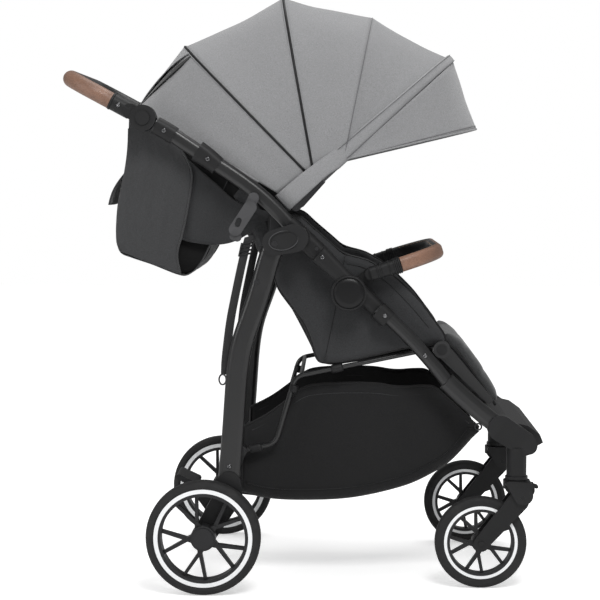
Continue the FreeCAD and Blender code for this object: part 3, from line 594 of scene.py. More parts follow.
def press_seams(obj, seams):
    """Sink sewn channels: each seam gives (distance function, width, depth)."""
    normals = [v.normal.copy() for v in obj.data.vertices]
    for distance, width, depth in seams:
        for vertex, normal in zip(obj.data.vertices, normals):
            d = distance(vertex.co)
            if d < width:
                vertex.co -= normal * depth * (1 + math.cos(math.pi * d / width)) / 2


def repaint_solids():
    """Give every carried-over solid its procedural material."""
    for name, obj in frame["nodes"].items():
        material = BUMPER_LEATHER if name == "bumper_cover" else PAINT[SLOT_OF[name]]
        obj.data.materials.clear()
        obj.data.materials.append(material)


def dress(piece, body):
    """Make a piece ride on a body."""
    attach(piece, body)


def both_sides(piece, dress_one):
    """Dress a right-hand piece and its mirrored left-hand copy."""
    twin = mirror_copy(piece, piece.name.replace("right", "left"))
    for one in (piece, twin):
        dress_one(one)
    return piece, twin


# ---------------------------------------------------------------- canopy
# Each bow is given by its crown's angle above straight ahead and distance from the canopy's pivot, and
# its foot by x and z from the same pivot.

CANOPY_HALF = 0.198
CORNER_POWER = 2 / 2.7
SHEET = 0.0014
ARCH_STEPS = 96
FINE_STEPS = 800
BOWS = {"edge": (149.0, 0.360), "rear": (125.9, 0.372), "mid": (94.2, 0.3955), "top": (68.2, 0.3836),
        "front": (42.8, 0.4048)}
BOW_FEET = {"edge": (-0.034, 0.021), "rear": (0.020, 0.058), "mid": (0.031, 0.062), "top": (0.087, 0.081),
            "front": (0.029, 0.027)}


def ray(degrees):
    """Direction in the side plane, measured up from straight ahead."""
    angle = math.radians(degrees)
    return Vector((math.cos(angle), 0, math.sin(angle)))


FRONT_BOW = ray(BOWS["front"][0])
FRONT_BACK = Vector((-FRONT_BOW.z, 0, FRONT_BOW.x))


def arch_shares(turn):
    """How far up and how far to the left a place on an arch is, as shares of its rise and half width."""
    return abs(math.sin(math.pi * turn)) ** CORNER_POWER, -bent(math.cos(math.pi * turn), CORNER_POWER)


def arch(bow, turn, lift=0.0):
    """A place on one arch; turn runs from 0 at the right foot over the crown to 1 at the left foot."""
    degrees, crown = BOWS[bow]
    rise, reach = arch_shares(turn)
    foot = Vector((BOW_FEET[bow][0], 0, BOW_FEET[bow][1]))
    top = ray(degrees) * (crown + lift)
    return CANOPY + foot.lerp(top, rise) + Vector((0, (CANOPY_HALF + lift) * reach, 0))


def even_turns(count, low=0.0, high=1.0):
    """Turns that split an arch into equal lengths."""
    fine = [low + (high - low) * k / FINE_STEPS for k in range(FINE_STEPS + 1)]
    run = [0.0]
    for a, b in zip(fine, fine[1:]):
        run.append(run[-1] + (arch("mid", b) - arch("mid", a)).length)
    turns, k = [], 0
    for n in range(count + 1):
        goal = run[-1] * n / count
        while k < FINE_STEPS - 1 and run[k + 1] < goal:
            k += 1
        turns.append(fine[k] + (fine[k + 1] - fine[k]) * (goal - run[k]) / (run[k + 1] - run[k]))
    return turns


def outward(place):
    """Direction away from the inside of the canopy."""
    arm = place - CANOPY
    radial = Vector((arm.x, 0, arm.z))
    share = min(1.0, radial.length / 0.39)
    side = Vector((0, arm.y / CANOPY_HALF, 0))
    return (radial.normalized() * share ** 2.4 + side * abs(side.y) ** 1.2).normalized()


def panel_place(a, b, turns, seed):
    """Surface between two arches: straight in the span, a little slack, with soft pull lines."""
    def place(u, v):
        turn = turns[round(v * (len(turns) - 1))]
        here = arch(a, turn).lerp(arch(b, turn), u)
        arm = here - CANOPY
        reach = min(1.0, Vector((arm.x, 0, arm.z)).length / 0.24)
        belly = math.sin(math.pi * u)
        pull = noise.noise(Vector((u * 1.3, v * 15, seed))) * 0.0022
        soft = noise.noise(Vector((u * 3.1, v * 5, seed + 9))) * 0.0022
        return here - outward(here) * belly * reach * (0.0045 + pull + soft)
    return place


def fold_line(piece, a, b, body_a, body_b):
    """Bake a panel's placement into its mesh; the half-way place between its two bows is worked out but not used,
    and the cloth is not split.
    """
    crown = (arch(a, 0.5) + arch(b, 0.5)) / 2
    foot = (arch(a, 0.0) + arch(b, 0.0)) / 2
    middle = (crown + foot) / 2
    middle.y = 0.0
    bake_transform(piece)


def canopy_panels():
    """Four cloth panels sewn together along the bows."""
    spans = (("edge", "rear", "upper_frame", "canopy_rear"), ("rear", "mid", "canopy_rear", "canopy_mid"),
             ("mid", "top", "canopy_mid", "canopy_top"), ("top", "front", "canopy_top", "canopy_front"))
    for number, (a, b, body_a, body_b) in enumerate(spans):
        turns = even_turns(ARCH_STEPS)
        place = panel_place(a, b, turns, 3.7 * number)
        panel = sheet("canopy_panel_%d" % (number + 1), place, 18, ARCH_STEPS, CANOPY_CLOTH, SHEET,
                      (0.19, 0.95))
        fold_line(panel, a, b, body_a, body_b)
        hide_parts("canopy_fabric")


def canopy_piping():
    """Black piping over two of the bows, a plain seam over the third and a bound rear edge."""
    for bow, body in (("rear", "canopy_rear"), ("mid", "canopy_mid")):
        path = [arch(bow, turn, 0.0012) for turn in even_turns(90, 0.0012, 0.9988)]
        dress(cord("canopy_piping_" + bow, path, 0.0023, PIPING, sides=10), body)
        for shift, side in ((-0.0032, "a"), (0.0032, "b")):
            step = ray(BOWS[bow][0] + 90) * shift
            ridge = [p + step - outward(p) * 0.001 for p in path]
            dress(cord("canopy_ridge_%s_%s" % (bow, side), ridge, 0.0013, CANOPY_CLOTH, sides=6), body)
    seam = [arch("top", turn, 0.0004) for turn in even_turns(90, 0.004, 0.996)]
    dress(cord("canopy_seam_top", seam, 0.0009, SEAM_GREY, sides=6), "canopy_top")
    edge = [arch("edge", turn, 0.0004) for turn in even_turns(90, 0.02, 0.98)]
    dress(cord("canopy_edge_binding", edge, 0.0022, CANOPY_CLOTH), "upper_frame")


def sleeve_width(r):
    """Upper edge of the front sleeve above the bow, at a distance from the canopy pivot."""
    steps = ((-0.017, 0.0386), (0.049, 0.036), (0.134, 0.0264), (0.265, 0.0195), (0.41, 0.0135))
    for (r0, w0), (r1, w1) in zip(steps, steps[1:]):
        if r <= r1:
            return w0 + (w1 - w0) * max(0.0, r - r0) / (r1 - r0)
    return steps[-1][1]


TONGUE = ((-0.017, -0.2072, 0.0), (0.010, -0.2078, 0.0), (0.045, -0.2072, 0.0), (0.080, -0.2040, 0.1),
          (0.105, -0.2005, 0.1))
SLEEVE_LOW = -0.0038


def sleeve_stations():
    """Centre stations of the front sleeve as (distance from pivot, y, outward in that plane)."""
    right = [(r, y, Vector((lean, -1))) for r, y, lean in TONGUE]
    middle = []
    for turn in even_turns(80, 0.045, 0.955):
        here = arch("front", turn, 0.001)
        normal = outward(here)
        flat = Vector((normal.dot(FRONT_BOW), normal.y)).normalized()
        middle.append(((here - CANOPY).dot(FRONT_BOW), here.y, flat))
    left = [(r, -y, Vector((n.x, -n.y))) for r, y, n in reversed(right)]
    return right + middle + left


def on_sleeve(station, height, width):
    """A place on the sleeve: height stands off its middle plane, width runs back from the bow."""
    r, y, normal = station
    reach = FRONT_BOW * (r + normal.x * height) + Vector((0, y + normal.y * height, 0))
    return CANOPY + reach + FRONT_BACK * width


def front_sleeve():
    """Cloth sleeve round the front bow, widening into a flat tongue at each pivot."""
    verts, uvs = [], []
    stations = sleeve_stations()
    around = 18
    for i, station in enumerate(stations):
        r = station[0]
        low, high = (0.001 if r < 0.09 else SLEEVE_LOW), sleeve_width(r)
        half = 0.0024 if r < 0.06 else min(0.0052, 0.0024 + (r - 0.06) * 0.03)
        sink = half * 0.55 if r > 0.09 else 0.0
        pucker = noise.noise(Vector((i * 0.35, 0, 4))) * 0.0007
        for k in range(around):
            turn = 2 * math.pi * k / around
            width = (low + high) / 2 + (high - low) / 2 * bent(math.cos(turn), 0.75)
            verts.append(on_sleeve(station, (half + pucker) * bent(math.sin(turn), 0.8) - sink, width))
            uvs.append((i * 0.0115, (high - low) * k / around * 2))
    sleeve = new_object("canopy_front_sleeve", verts, tube_faces(len(stations), around),
                        CANOPY_CLOTH, uvs)
    dress(sleeve, "canopy_front")
    for edge, share, lift in (("upper", 0.86, 0.0029), ("lower", 0.10, 0.0024)):
        path = []
        for station in stations[len(TONGUE):-len(TONGUE)]:
            width = SLEEVE_LOW + (sleeve_width(station[0]) - SLEEVE_LOW) * share
            path.append(on_sleeve(station, lift, width))
        dress(cord("canopy_sleeve_stitch_" + edge, path, 0.0006, SEAM_GREY, sides=5), "canopy_front")
    for station, name in ((stations[0], "right"), (stations[-1], "left")):
        end = [on_sleeve(station, 0.0, width) for width in (0.0, 0.012, 0.026, 0.0395)]
        binding = cord("canopy_tongue_binding_" + name, spline(end, 14), 0.0030, PIPING)
        dress(binding, "canopy_front")


def visor():
    """Cloth visor in front of the front bow, hemmed along its free edge."""
    tip, foot = at(511, 852), at(247, 790)
    turns = even_turns(ARCH_STEPS)
    root_low, root_high = 0.118, BOWS["front"][1] - 0.002
    root_ray = ray(BOWS["front"][0] - 0.6)

    def edge(turn):
        rise, reach = arch_shares(turn)
        return foot.lerp(tip, rise) + Vector((0, reach * CANOPY_HALF, 0))

    def root(turn):
        rise, reach = arch_shares(turn)
        run = root_low + (root_high - root_low) * rise
        return CANOPY + root_ray * run + Vector((0, CANOPY_HALF * 0.992 * reach, 0))

    def place(u, v):
        turn = turns[round(v * (len(turns) - 1))]
        here = root(turn).lerp(edge(turn), u)
        belly = math.sin(math.pi * u) ** 0.8
        soft = noise.noise(Vector((u * 2.4, v * 9, 31.0))) * 0.003
        return here - outward(here) * (0.002 + soft) * belly

    hem = [edge(turn) for turn in turns]
    inset = [root(turn).lerp(edge(turn), 0.955) + outward(edge(turn)) * 0.0007 for turn in turns[2:-2]]
    visor_cloth = sheet("visor_cloth", place, 14, ARCH_STEPS, CANOPY_CLOTH, SHEET, (0.13, 0.9))
    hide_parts("canopy_visor")
    for piece in (visor_cloth, cord("visor_binding", hem, 0.0019, CANOPY_CLOTH),
                  cord("visor_hem_stitch", inset, 0.0006, SEAM_GREY, sides=5)):
        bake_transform(piece)


def vent_sheet(name, place, rows, columns, material, thickness, size):
    """A sheet that lies on the rear panel."""
    piece = sheet(name, place, rows, columns, material, thickness, size)
    fold_line(piece, "edge", "rear", "upper_frame", "canopy_rear")


def rear_vent():
    """Roll-up flap over the rear panel with the shadow gap under its free edges."""
    def on_panel(turn, u, lift=0.0):
        return arch("rear", turn, lift).lerp(arch("edge", turn, lift), u)

    for left, name in ((False, "right"), (True, "left")):
        def gap(u, v):
            turn = 0.345 + 0.11 * u + 0.030 * math.sin(math.pi * u) ** 0.7 * (v - 0.5)
            here = on_panel(1 - turn if left else turn, u)
            return here + outward(here) * 0.0006
        # The gap strips are painted shadow under the flap's free edges.
        vent_sheet("vent_gap_" + name, gap, 30, 6, MESH_AND_SHADOW_CLOTH, 0.0006, (0.14, 0.03))

    def flap(u, v):
        low = 0.357 + 0.11 * u + 0.012 * math.sin(math.pi * u) ** 0.7
        here = on_panel(low + (1 - 2 * low) * v, u, 0.001)
        curl = 0.0008 + 0.0032 * (abs(v - 0.5) * 2) ** 6 * math.sin(math.pi * min(1.0, u * 1.1)) ** 0.5
        return here + outward(here) * curl
    vent_sheet("vent_flap", flap, 20, 30, CANOPY_CLOTH, SHEET, (0.15, 0.3))


# ---------------------------------------------------------------- seat

TUBE_NORMAL = (0.64, 0.0, 0.77)
PANEL = 0.0026
THIN_PANEL = 0.0018


def stations(pairs, y=0.0):
    """Places from (x, z) pairs given in millimetres from the rear axle's foot."""
    return [at(x, z, y) for x, z in pairs]


def run_at(line, y, count):
    """Smooth line through (x, z) pairs, laid in the side plane at y."""
    return in_plane(spline(stations(line), count), y)


def path_function(pairs):
    """Place along a smooth line through stations, from 0 to 1."""
    fine = spline(stations(pairs), 201)

    def place(u):
        k = min(199, int(u * 200))
        return fine[k].lerp(fine[k + 1], u * 200 - k)
    return place


def distance_to_line(points):
    """Distance in the side plane from a place to a polyline."""
    def distance(place):
        best = 1.0
        p = Vector((place.x, place.z))
        for a, b in zip(points, points[1:]):
            a2, b2 = Vector((a.x, a.z)), Vector((b.x, b.z))
            t = max(0.0, min(1.0, (p - a2).dot(b2 - a2) / (b2 - a2).length_squared))
            best = min(best, (p - (a2 + (b2 - a2) * t)).length)
        return best
    return distance


def at_y(y):
    """Distance from a place to the two side planes at y and -y."""
    return lambda place: abs(abs(place.y) - y)


def across_line(origin, heading, steps):
    """Distance from a place to channels that cross a cushion at steps along a heading."""
    def distance(place):
        run = (place - origin).dot(heading)
        return min(abs(run - step) for step in steps)
    return distance


def crumpling(body):
    """A way to dress soft pieces that ride on one body, each with its own copy of its mesh."""
    def dress_one(piece):
        dress(piece, body)
        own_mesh(piece)
    return dress_one


ON_BACK = crumpling("backrest")
ON_BACK_WEBBING = crumpling("backrest")
ON_SEAT = crumpling("seat_link")
ON_SEAT_WEBBING = crumpling("seat_link")
ON_SEAT_PAD = crumpling("seat_link")
IN_BASKET = crumpling("seat_link")
IN_POCKET = crumpling("upper_frame")
IN_CURTAIN = crumpling("upper_frame")


def cushion(name, outline, half, material, origin, end, steps, seam, edge, voxel, cap):
    """Crowned pad over both sides of the middle plane with cross channels and one channel near each side."""
    pad = slab_between(name, outline, -half, half, material)
    heading = (at(*end) - at(*origin)).normalized()
    channels = [(across_line(at(*origin), heading, steps), *seam), (at_y(edge[0]), *edge[1:])]
    puff(pad, voxel, 4.0, cap, channels)
    return pad


def backrest_cushion():
    """Quilted backrest and its side wings."""
    outline = stations([(216, 436), (236, 447), (186, 549), (66, 734), (44, 743), (34, 729), (144, 553)])
    pad = cushion("backrest_cushion", outline, 0.146, SEAT_CLOTH, (216, 436), (46, 735),
                  (0.075, 0.155, 0.235), (0.010, 0.0035), (0.098, 0.009, 0.0035), 0.007, 0.010)
    ON_BACK(pad)
    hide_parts("backrest")

    def wing(u, v):
        here = at(202, 430).lerp(at(50, 727), u) + Vector(TUBE_NORMAL) * 0.034 * max(0.0, v * 2 - 1)
        return Vector((here.x, -0.138 - 0.0255 * min(1.0, v * 2), here.z + 0.0015 * math.sin(u * 11)))
    both_sides(sheet("backrest_wing_right", wing, 30, 12, SEAT_CLOTH, PANEL, (0.33, 0.06)), ON_BACK)


def seat_base():
    """Cloth bottom of the seat, turned up behind the pad and ending under the calf pad."""
    line = path_function([(446, 445), (424, 444), (330, 426), (244, 411), (214, 415), (201, 430), (194, 450)])

    def place(u, v):
        here = line(u)
        return Vector((here.x, (v * 2 - 1) * 0.1640, here.z - 0.004 * math.sin(math.pi * v)))
    ON_SEAT(sheet("seat_base", place, 40, 30, SIDE_CLOTH, PANEL, (0.29, 0.33)))


def seat_cushion():
    """Seat pad with a rounded front roll."""
    outline = stations([(226, 415), (300, 427), (395, 447), (424, 454), (434, 476), (420, 491), (370, 482),
                        (242, 446)])
    pad = cushion("seat_cushion", outline, 0.160, SEAT_CLOTH, (230, 440), (400, 480),
                  (0.055, 0.118), (0.010, 0.003), (0.105, 0.009, 0.003), 0.007, 0.008)
    ON_SEAT_PAD(pad)
    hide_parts("seat_pad")


SIDE_OUTLINE = [
    (206, 421), (224, 412), (276, 419), (330, 431), (380, 442), (424, 448), (444, 450), (443, 466),
    (422, 496), (390, 537), (347, 577), (322, 594), (295, 608), (257, 620), (229, 642), (198, 668),
    (172, 690), (140, 692), (118, 690), (116, 640), (128, 564), (152, 526), (182, 483), (197, 446),
]


def hugging(loop, pad):
    """A loop moved in its plane onto the nearest points of a pad, then evened out."""
    points = [Vector((v.co.x, 0, v.co.z)) for v in pad.data.vertices]
    tree = KDTree(len(points))
    for index, place in enumerate(points):
        tree.insert(place, index)
    tree.balance()
    found = [tree.find(Vector((p.x, 0, p.z)))[0] for p in loop]
    for _ in range(2):
        found = [(found[i - 1] + found[i] * 2 + found[(i + 1) % len(found)]) / 4 for i in range(len(found))]
    return found


def seat_sides():
    """Padded sides with piped edges and a slanting seam."""
    loop = spline(stations(SIDE_OUTLINE), 110, closed=True)
    centre = sum(loop, Vector()) / len(loop)
    inner = [p + (p - centre).normalized() * 0.002 for p in loop]
    pad = slab_between("seat_side_right", inner, -0.1785, -0.1665, SIDE_CLOTH)
    channels = [([(258, 622), (240, 520), (217, 412)], 0.0028),
                ([(255, 600), (296, 590), (338, 562), (378, 522), (414, 480)], 0.0024)]
    seams = [(distance_to_line(stations(line)), 0.006, depth) for line, depth in channels]
    puff(pad, 0.0045, 3.0, 0.006, seams, spread=0.15)
    for one in both_sides(pad, ON_SEAT):
        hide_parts("seat_sides")
    edge = in_plane(hugging(loop, pad), -0.1735)
    both_sides(cord("seat_side_piping_right", edge, 0.0030, PIPING, closed=True), ON_SEAT)
    for name, line in (("slant", [(258, 618), (241, 520), (219, 416)]),
                       ("wing", [(262, 599), (296, 590), (338, 562), (378, 522), (414, 480)])):
        run = run_at(line, -0.1830, 30)
        both_sides(cord("seat_side_seam_%s_right" % name, run, 0.0008, BASKET_CLOTH, sides=5), ON_SEAT)


def legrest_cushion():
    """Calf pad with a paler cover and a darker padded underside."""
    cover = stations([(434, 460), (446, 470), (476, 446), (507, 405), (534, 361), (547, 338), (540, 334),
                      (520, 362), (492, 402), (462, 438)])
    pad = cushion("legrest_cushion", cover, 0.166, LEG_CLOTH, (436, 474), (541, 345),
                  (0.055, 0.115), (0.008, 0.002), (0.118, 0.009, 0.0025), 0.0065, 0.008)
    dress(pad, "legrest")
    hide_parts("legrest_pad")
    under = stations([(440, 458), (462, 436), (492, 400), (520, 360), (536, 336), (528, 332), (500, 372),
                      (462, 420), (440, 440)])
    backing = slab_between("legrest_underside", under, -0.158, 0.158, SEAT_CLOTH)
    puff(backing, 0.0065, 3.0, 0.005)
    dress(backing, "legrest")
    for side, name in ((-1, "right"), (1, "left")):
        edge = in_plane(spline(cover[-4:] + cover[:1], 24), side * 0.1665)
        dress(cord("legrest_piping_" + name, edge, 0.0026, PIPING), "legrest")


WEBBING_WIDTH = 0.024


def harness():
    """Five-point harness: shoulder straps with pads, waist and crotch straps and a round buckle."""
    lift = Vector((0.78, 0, 0.52)) * 0.006
    level = Vector((0, 1, 0))
    shoulder = run_at([(64, 733), (122, 645), (184, 548), (222, 482), (246, 466)], 0.0, 40)
    strap = [p + lift + Vector((0, -0.050 + 0.026 * (i / 39) ** 2, 0)) for i, p in enumerate(shoulder)]
    both = both_sides(tape("shoulder_strap_right", strap, WEBBING_WIDTH, 0.0016, WEBBING, level),
                      ON_BACK_WEBBING)
    for one in both:
        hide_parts("harness")
    pad = [p + lift * 0.6 for p in strap[3:24]]
    both_sides(cord("shoulder_pad_right", pad, lambda t: 0.0215 * min(1.0, 0.55 + 4 * min(t, 1 - t)),
                    SEAT_CLOTH, sides=20, flat=0.27, up=Vector((-0.52, 0, 0.78))), ON_BACK_WEBBING)
    waist = spline([at(249, 468, -0.02), at(246, 462, -0.06), at(240, 452, -0.11), at(232, 448, -0.145)], 24)
    both_sides(tape("waist_strap_right", waist, WEBBING_WIDTH, 0.0016, WEBBING, Vector((0.8, 0, 0.6))),
               ON_BACK_WEBBING)
    crotch = spline(stations([(256, 466), (276, 466), (292, 462), (302, 452)]), 16)
    ON_SEAT_WEBBING(tape("crotch_strap", crotch, WEBBING_WIDTH, 0.0018, WEBBING, level))
    normal = Vector((0.55, 0, 0.83))
    shell = [(0.0, 0.0), (0.0, 0.019), (0.0015, 0.0215), (0.008, 0.0215), (0.011, 0.019), (0.0115, 0.012),
             (0.0098, 0.0115), (0.0098, 0.0)]
    press = [(0.008, 0.0), (0.008, 0.0105), (0.0118, 0.0100), (0.0128, 0.007), (0.0130, 0.0)]
    ON_BACK_WEBBING(turned_part("harness_buckle", at(247, 466), normal, shell, MOULDING, 36))
    ON_BACK_WEBBING(turned_part("harness_button", at(247, 466), normal, press, MOULDING_GREY, 30))


# ---------------------------------------------------------------- bags

BASKET_HALF = 0.152
BASKET_STEPS = 64
WALL_SHARE = 0.5
CORNER_SHARE = 0.12
BASKET_FLOOR = [(62, 162), (102, 152), (157, 147), (239, 149), (300, 157), (370, 175), (417, 196), (455, 220),
                (491, 258), (510, 282)]
BASKET_TOP = [(66, 289), (110, 312), (149, 340), (178, 362), (205, 370), (260, 373), (315, 372), (350, 367),
              (372, 366), (400, 368), (425, 366), (447, 348), (475, 322), (510, 290)]


BASKET_LOW = path_function(BASKET_FLOOR)
BASKET_HIGH = path_function(BASKET_TOP)


def basket_section(u, turn):
    """A place on the basket's shell: u from the rear to the front, turn down one wall and up the other."""
    low, high = BASKET_LOW(u), BASKET_HIGH(u)
    depth = max(0.004, (high - low).length)
    corner = min(0.024, depth * 0.4)
    run = 1 - abs(2 * turn - 1)
    bend = math.pi / 2 * min(1.0, max(0.0, (run - WALL_SHARE) / CORNER_SHARE))
    drop = (1 - corner / depth) * min(1.0, run / WALL_SHARE) + corner / depth * math.sin(bend)
    flat = max(0.0, (run - WALL_SHARE - CORNER_SHARE) / (1 - WALL_SHARE - CORNER_SHARE))
    half = (BASKET_HALF - 0.002 - corner * (1 - math.cos(bend))) * (1 - flat)
    wall = 4 * drop * (1 - drop)
    loose = noise.noise(Vector((u * 6, turn * 7, 2.0)))
    side = 1 if turn > 0.5 else -1
    here = high.lerp(low, drop)
    y = side * (half + wall * (0.007 * min(1.0, depth / 0.15) + loose * 0.004))
    ripple = noise.noise(Vector((u * 11, side * 5.0, drop * 2))) * 0.0022 * math.sin(math.pi * drop) ** 0.5
    return Vector((here.x, y + side * ripple, here.z - 0.003 * flat + loose * 0.0012 * drop))


def basket():
    """Sagging cloth basket with a bound rim, a top band and a bottom seam."""
    shell = sheet("basket_shell", basket_section, BASKET_STEPS, BASKET_STEPS, BASKET_CLOTH, 0.0022,
                  (0.5, 0.7))
    IN_BASKET(shell)
    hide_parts("basket")

    def seam(name, side, turn, start, length, out, drop, radius, material):
        low = [basket_section(start + length * k / 60, turn) for k in range(61)]
        line = [Vector((p.x, side * (abs(p.y) + out), p.z - drop)) for p in low]
        IN_BASKET(cord(name, line, radius, material, sides=6))
    for side, name in ((-1, "right"), (1, "left")):
        rim = [basket_section(u / 80, max(0, side)) for u in range(81)]
        IN_BASKET(cord("basket_rim_" + name, rim, 0.0024, BASKET_CLOTH))
        seam("basket_rim_stitch_" + name, side, 0.012, 0.03, 0.93, 0.0018, 0.009, 0.0008, SEAT_CLOTH)
        seam("basket_floor_seam_" + name, side, 0.5 * WALL_SHARE, 0.02, 0.95, 0.0012, 0.0, 0.0010, PIPING)
    lip = [basket_section(0.0, k / BASKET_STEPS) for k in range(BASKET_STEPS + 1)]
    IN_BASKET(cord("basket_rear_binding", lip, 0.0026, PIPING))


def rear_pocket():
    """Pouch behind the backrest: rear panel that wraps under, side panels, a hanging flap and near-black gussets
    inside as painted shade.
    """
    half = 0.171
    run = run_at([(-136, 872), (-144, 830), (-149, 785), (-156, 742), (-166, 700), (-169, 655), (-163, 622),
                  (-140, 610), (-100, 596), (-56, 580), (-34, 579), (-14, 598), (6, 634)], 0.0, 121)
    rear = run_at([(-144, 868), (-146, 815), (-152, 770), (-165, 706), (-168, 645), (-161, 621)], 0.0, 31)
    middle = run_at([(-60, 832), (-30, 778), (-30, 735), (-44, 660), (-55, 617), (-49, 578)], 0.0, 31)
    front = run_at([(-10, 800), (4, 760), (6, 700), (8, 640), (-8, 604), (-36, 580)], 0.0, 31)

    def wrap(u, v):
        here = run[round(u * 120)]
        across = v * 2 - 1
        hang = (1 - across ** 2) * math.sin(math.pi * min(1.0, u / 0.81))
        loose = noise.noise(Vector((u * 7, v * 4, 12.0))) * 0.003
        return Vector((here.x - hang * 0.006 + loose, across * half, here.z - hang * 0.004 + loose))

    def gusset(u, v):
        here = middle[round(u * 30)].lerp(front[round(u * 30)], v)
        return Vector((here.x - 0.006 * (1 - v), -half + 0.024 + 0.004 * math.sin(u * 5), here.z))

    def panel(u, v):
        here = rear[round(u * 30)].lerp(middle[round(u * 30)], v)
        belly = math.sin(math.pi * u) * math.sin(math.pi * (0.1 + 0.9 * v)) ** 0.6
        crease = noise.noise(Vector((u * 4, v * 5, 5.0))) * 0.0035
        crease += noise.noise(Vector((u * 2, v * 13, 8.0))) * 0.0022
        return Vector((here.x, -half - 0.001 - belly * (0.006 + crease), here.z))

    def flap(u, v):
        here = at(-151, 770).lerp(at(-184, 708), u) + Vector((0, (v * 2 - 1) * (half - 0.006), 0))
        wave = math.sin(v * math.pi * 3) * 0.003 * u
        return here + Vector((wave - 0.006 * math.sin(math.pi * u), 0, 0))
    back = sheet("pocket_back", wrap, 120, 40, POCKET_CLOTH, THIN_PANEL, (0.6, 0.33))
    IN_POCKET(back)
    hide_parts("rear_pocket")
    IN_POCKET(sheet("pocket_flap", flap, 16, 30, POCKET_CLOTH, 0.0020, (0.07, 0.33)))
    # The gussets sit inside the pouch in near-black cloth, painted shade of its inside.
    both_sides(sheet("pocket_gusset_right", gusset, 30, 12, PAINTED_SHADE_CLOTH, THIN_PANEL, (0.23, 0.07)), IN_POCKET)
    both_sides(sheet("pocket_side_right", panel, 30, 26, POCKET_CLOTH, THIN_PANEL, (0.23, 0.12)), IN_POCKET)
    for name, edge, out in (("side_hem", middle, 0.0025), ("corner_seam", rear[2:], 0.002)):
        hem = cord("pocket_%s_right" % name, in_plane(edge, -half - out), 0.0016, POCKET_CLOTH)
        both_sides(hem, IN_POCKET)


def back_curtain():
    """Cloth that hangs from the upper tube beside the backrest, with a near-black sheet behind it as painted shade
    under the tube.
    """
    top = path_function([(-50, 806), (-31, 789), (15, 750), (54, 716), (96, 700), (142, 690)])
    tube = path_function([(-58, 834), (-10, 805), (40, 770), (95, 730), (142, 690)])
    bottom = path_function([(-48, 645), (-30, 640), (10, 635), (47, 640), (86, 660), (124, 676)])

    def place(u, v):
        here = top(u).lerp(bottom(u), v)
        fold = math.sin(u * 13 + v * 2) * 0.0028 * math.sin(math.pi * v) ** 0.5
        loose = noise.noise(Vector((u * 5, v * 4, 21.0))) * 0.004 * v
        return Vector((here.x, -0.168 + v * 0.006 + fold + loose, here.z))

    def behind(u, v):
        here = tube(u).lerp(bottom(u), v * 0.75)
        return Vector((here.x, -0.157 - 0.003 * math.sin(u * 9 + v * 4), here.z))

    def back_sheet(u, v):
        here = at(4, 640).lerp(at(10, 742), u) if u < 0.5 else at(7, 691).lerp(at(38, 752), u * 2 - 1)
        return Vector((here.x, (v * 2 - 1) * 0.160, here.z + math.sin(v * 9) * 0.002))
    hem = [place(k / 40, 1.0) for k in range(41)]
    both_sides(sheet("back_curtain_right", place, 40, 30, SIDE_CLOTH, THIN_PANEL, (0.2, 0.16)), IN_CURTAIN)
    both_sides(cord("back_curtain_hem_right", hem, 0.0016, SIDE_CLOTH), IN_CURTAIN)
    # The sheet behind the curtain is near-black, painted shade under the upper tube.
    both_sides(sheet("curtain_lining_right", behind, 30, 20, PAINTED_SHADE_CLOTH, THIN_PANEL, (0.2, 0.12)), IN_CURTAIN)
    IN_CURTAIN(sheet("back_sheet", back_sheet, 20, 30, SIDE_CLOTH, THIN_PANEL, (0.13, 0.33)))


# ---------------------------------------------------------------- straps and small fittings

STRAP_PLANE = -0.239
BOSS_FACE = -0.2412


def riding(body):
    """A way to dress pieces that ride on one body."""
    return lambda piece: dress(piece, body)


def oval_loop(centre, wide, high, count):
    """Points on an oval in the side plane."""
    turns = [2 * math.pi * k / count for k in range(count)]
    return [centre + Vector((wide * math.cos(turn), 0, high * math.sin(turn))) for turn in turns]


def side_straps():
    """Webbing behind each rear leg, with a slider near its top and a ring at its end."""
    line = [(82, 652), (72, 615), (60, 560), (49, 505), (43, 462), (39, 425), (38, 398)]
    run = run_at(line, STRAP_PLANE, 50)
    strap = tape("side_strap_right", run, 0.017, 0.0018, WEBBING, Vector((1, 0, 0.25)))
    hang = riding("rear_frame")
    for one in both_sides(strap, hang):
        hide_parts("side_straps")
    slider = STRAP_PLANE - 0.0015
    bars = [[(69 - k * 1.82, 638 - k * 7), (91 - k * 1.82, 642 - k * 7)] for k in range(4)]
    bars += [[(80 + dx, 642 + dx * 0.18), (74.5 + dx, 617 + dx * 0.18)] for dx in (-11, 11)]
    bars = [cord("bar", stations(ends, slider), 0.0017, MOULDING) for ends in bars]
    both_sides(merged("strap_slider_right", bars), hang)
    loop = oval_loop(at(33, 389, STRAP_PLANE), 0.0065, 0.0095, 24)
    both_sides(cord("strap_ring_right", loop, 0.0016, STEEL, closed=True), hang)


RIVET_RADIUS = 0.0044
RIVET_HEADS = {
    "front_sleeve": (331, 506, 0.2275, "front_frame"), "front_tube": (405, 432, 0.2250, "front_frame"),
    "handle_arm": (-157, 891.6, 0.2292, "handle"), "clamp": (6, 793, 0.2280, "upper_frame"),
    "sleeve_top": (158.5, 669.5, 0.2275, "upper_frame"), "hub_sleeve": (-74, 845, 0.2275, "upper_frame"),
    "arm_top": (216, 614, 0.2390, "upper_frame"), "leg_low": (46, 231, 0.2620, "rear_frame"),
}


def rivets():
    """Domed rivets with a small drive recess, standing on the outer faces of the frame."""
    profile = [(0.0, 0.0), (0.0, 1.0), (0.0006, 1.02), (0.0016, 0.80), (0.0022, 0.42), (0.0014, 0.34),
               (0.0014, 0.0)]
    profile = [(along, share * RIVET_RADIUS) for along, share in profile]
    for name, (x, z, face, body) in RIVET_HEADS.items():
        for side, label in ((-1, "right"), (1, "left")):
            head = turned_part("rivet_%s_%s" % (name, label), at(x, z, side * face), Vector((0, side, 0)),
                               profile, RIVET, 20)
            dress(head, body)


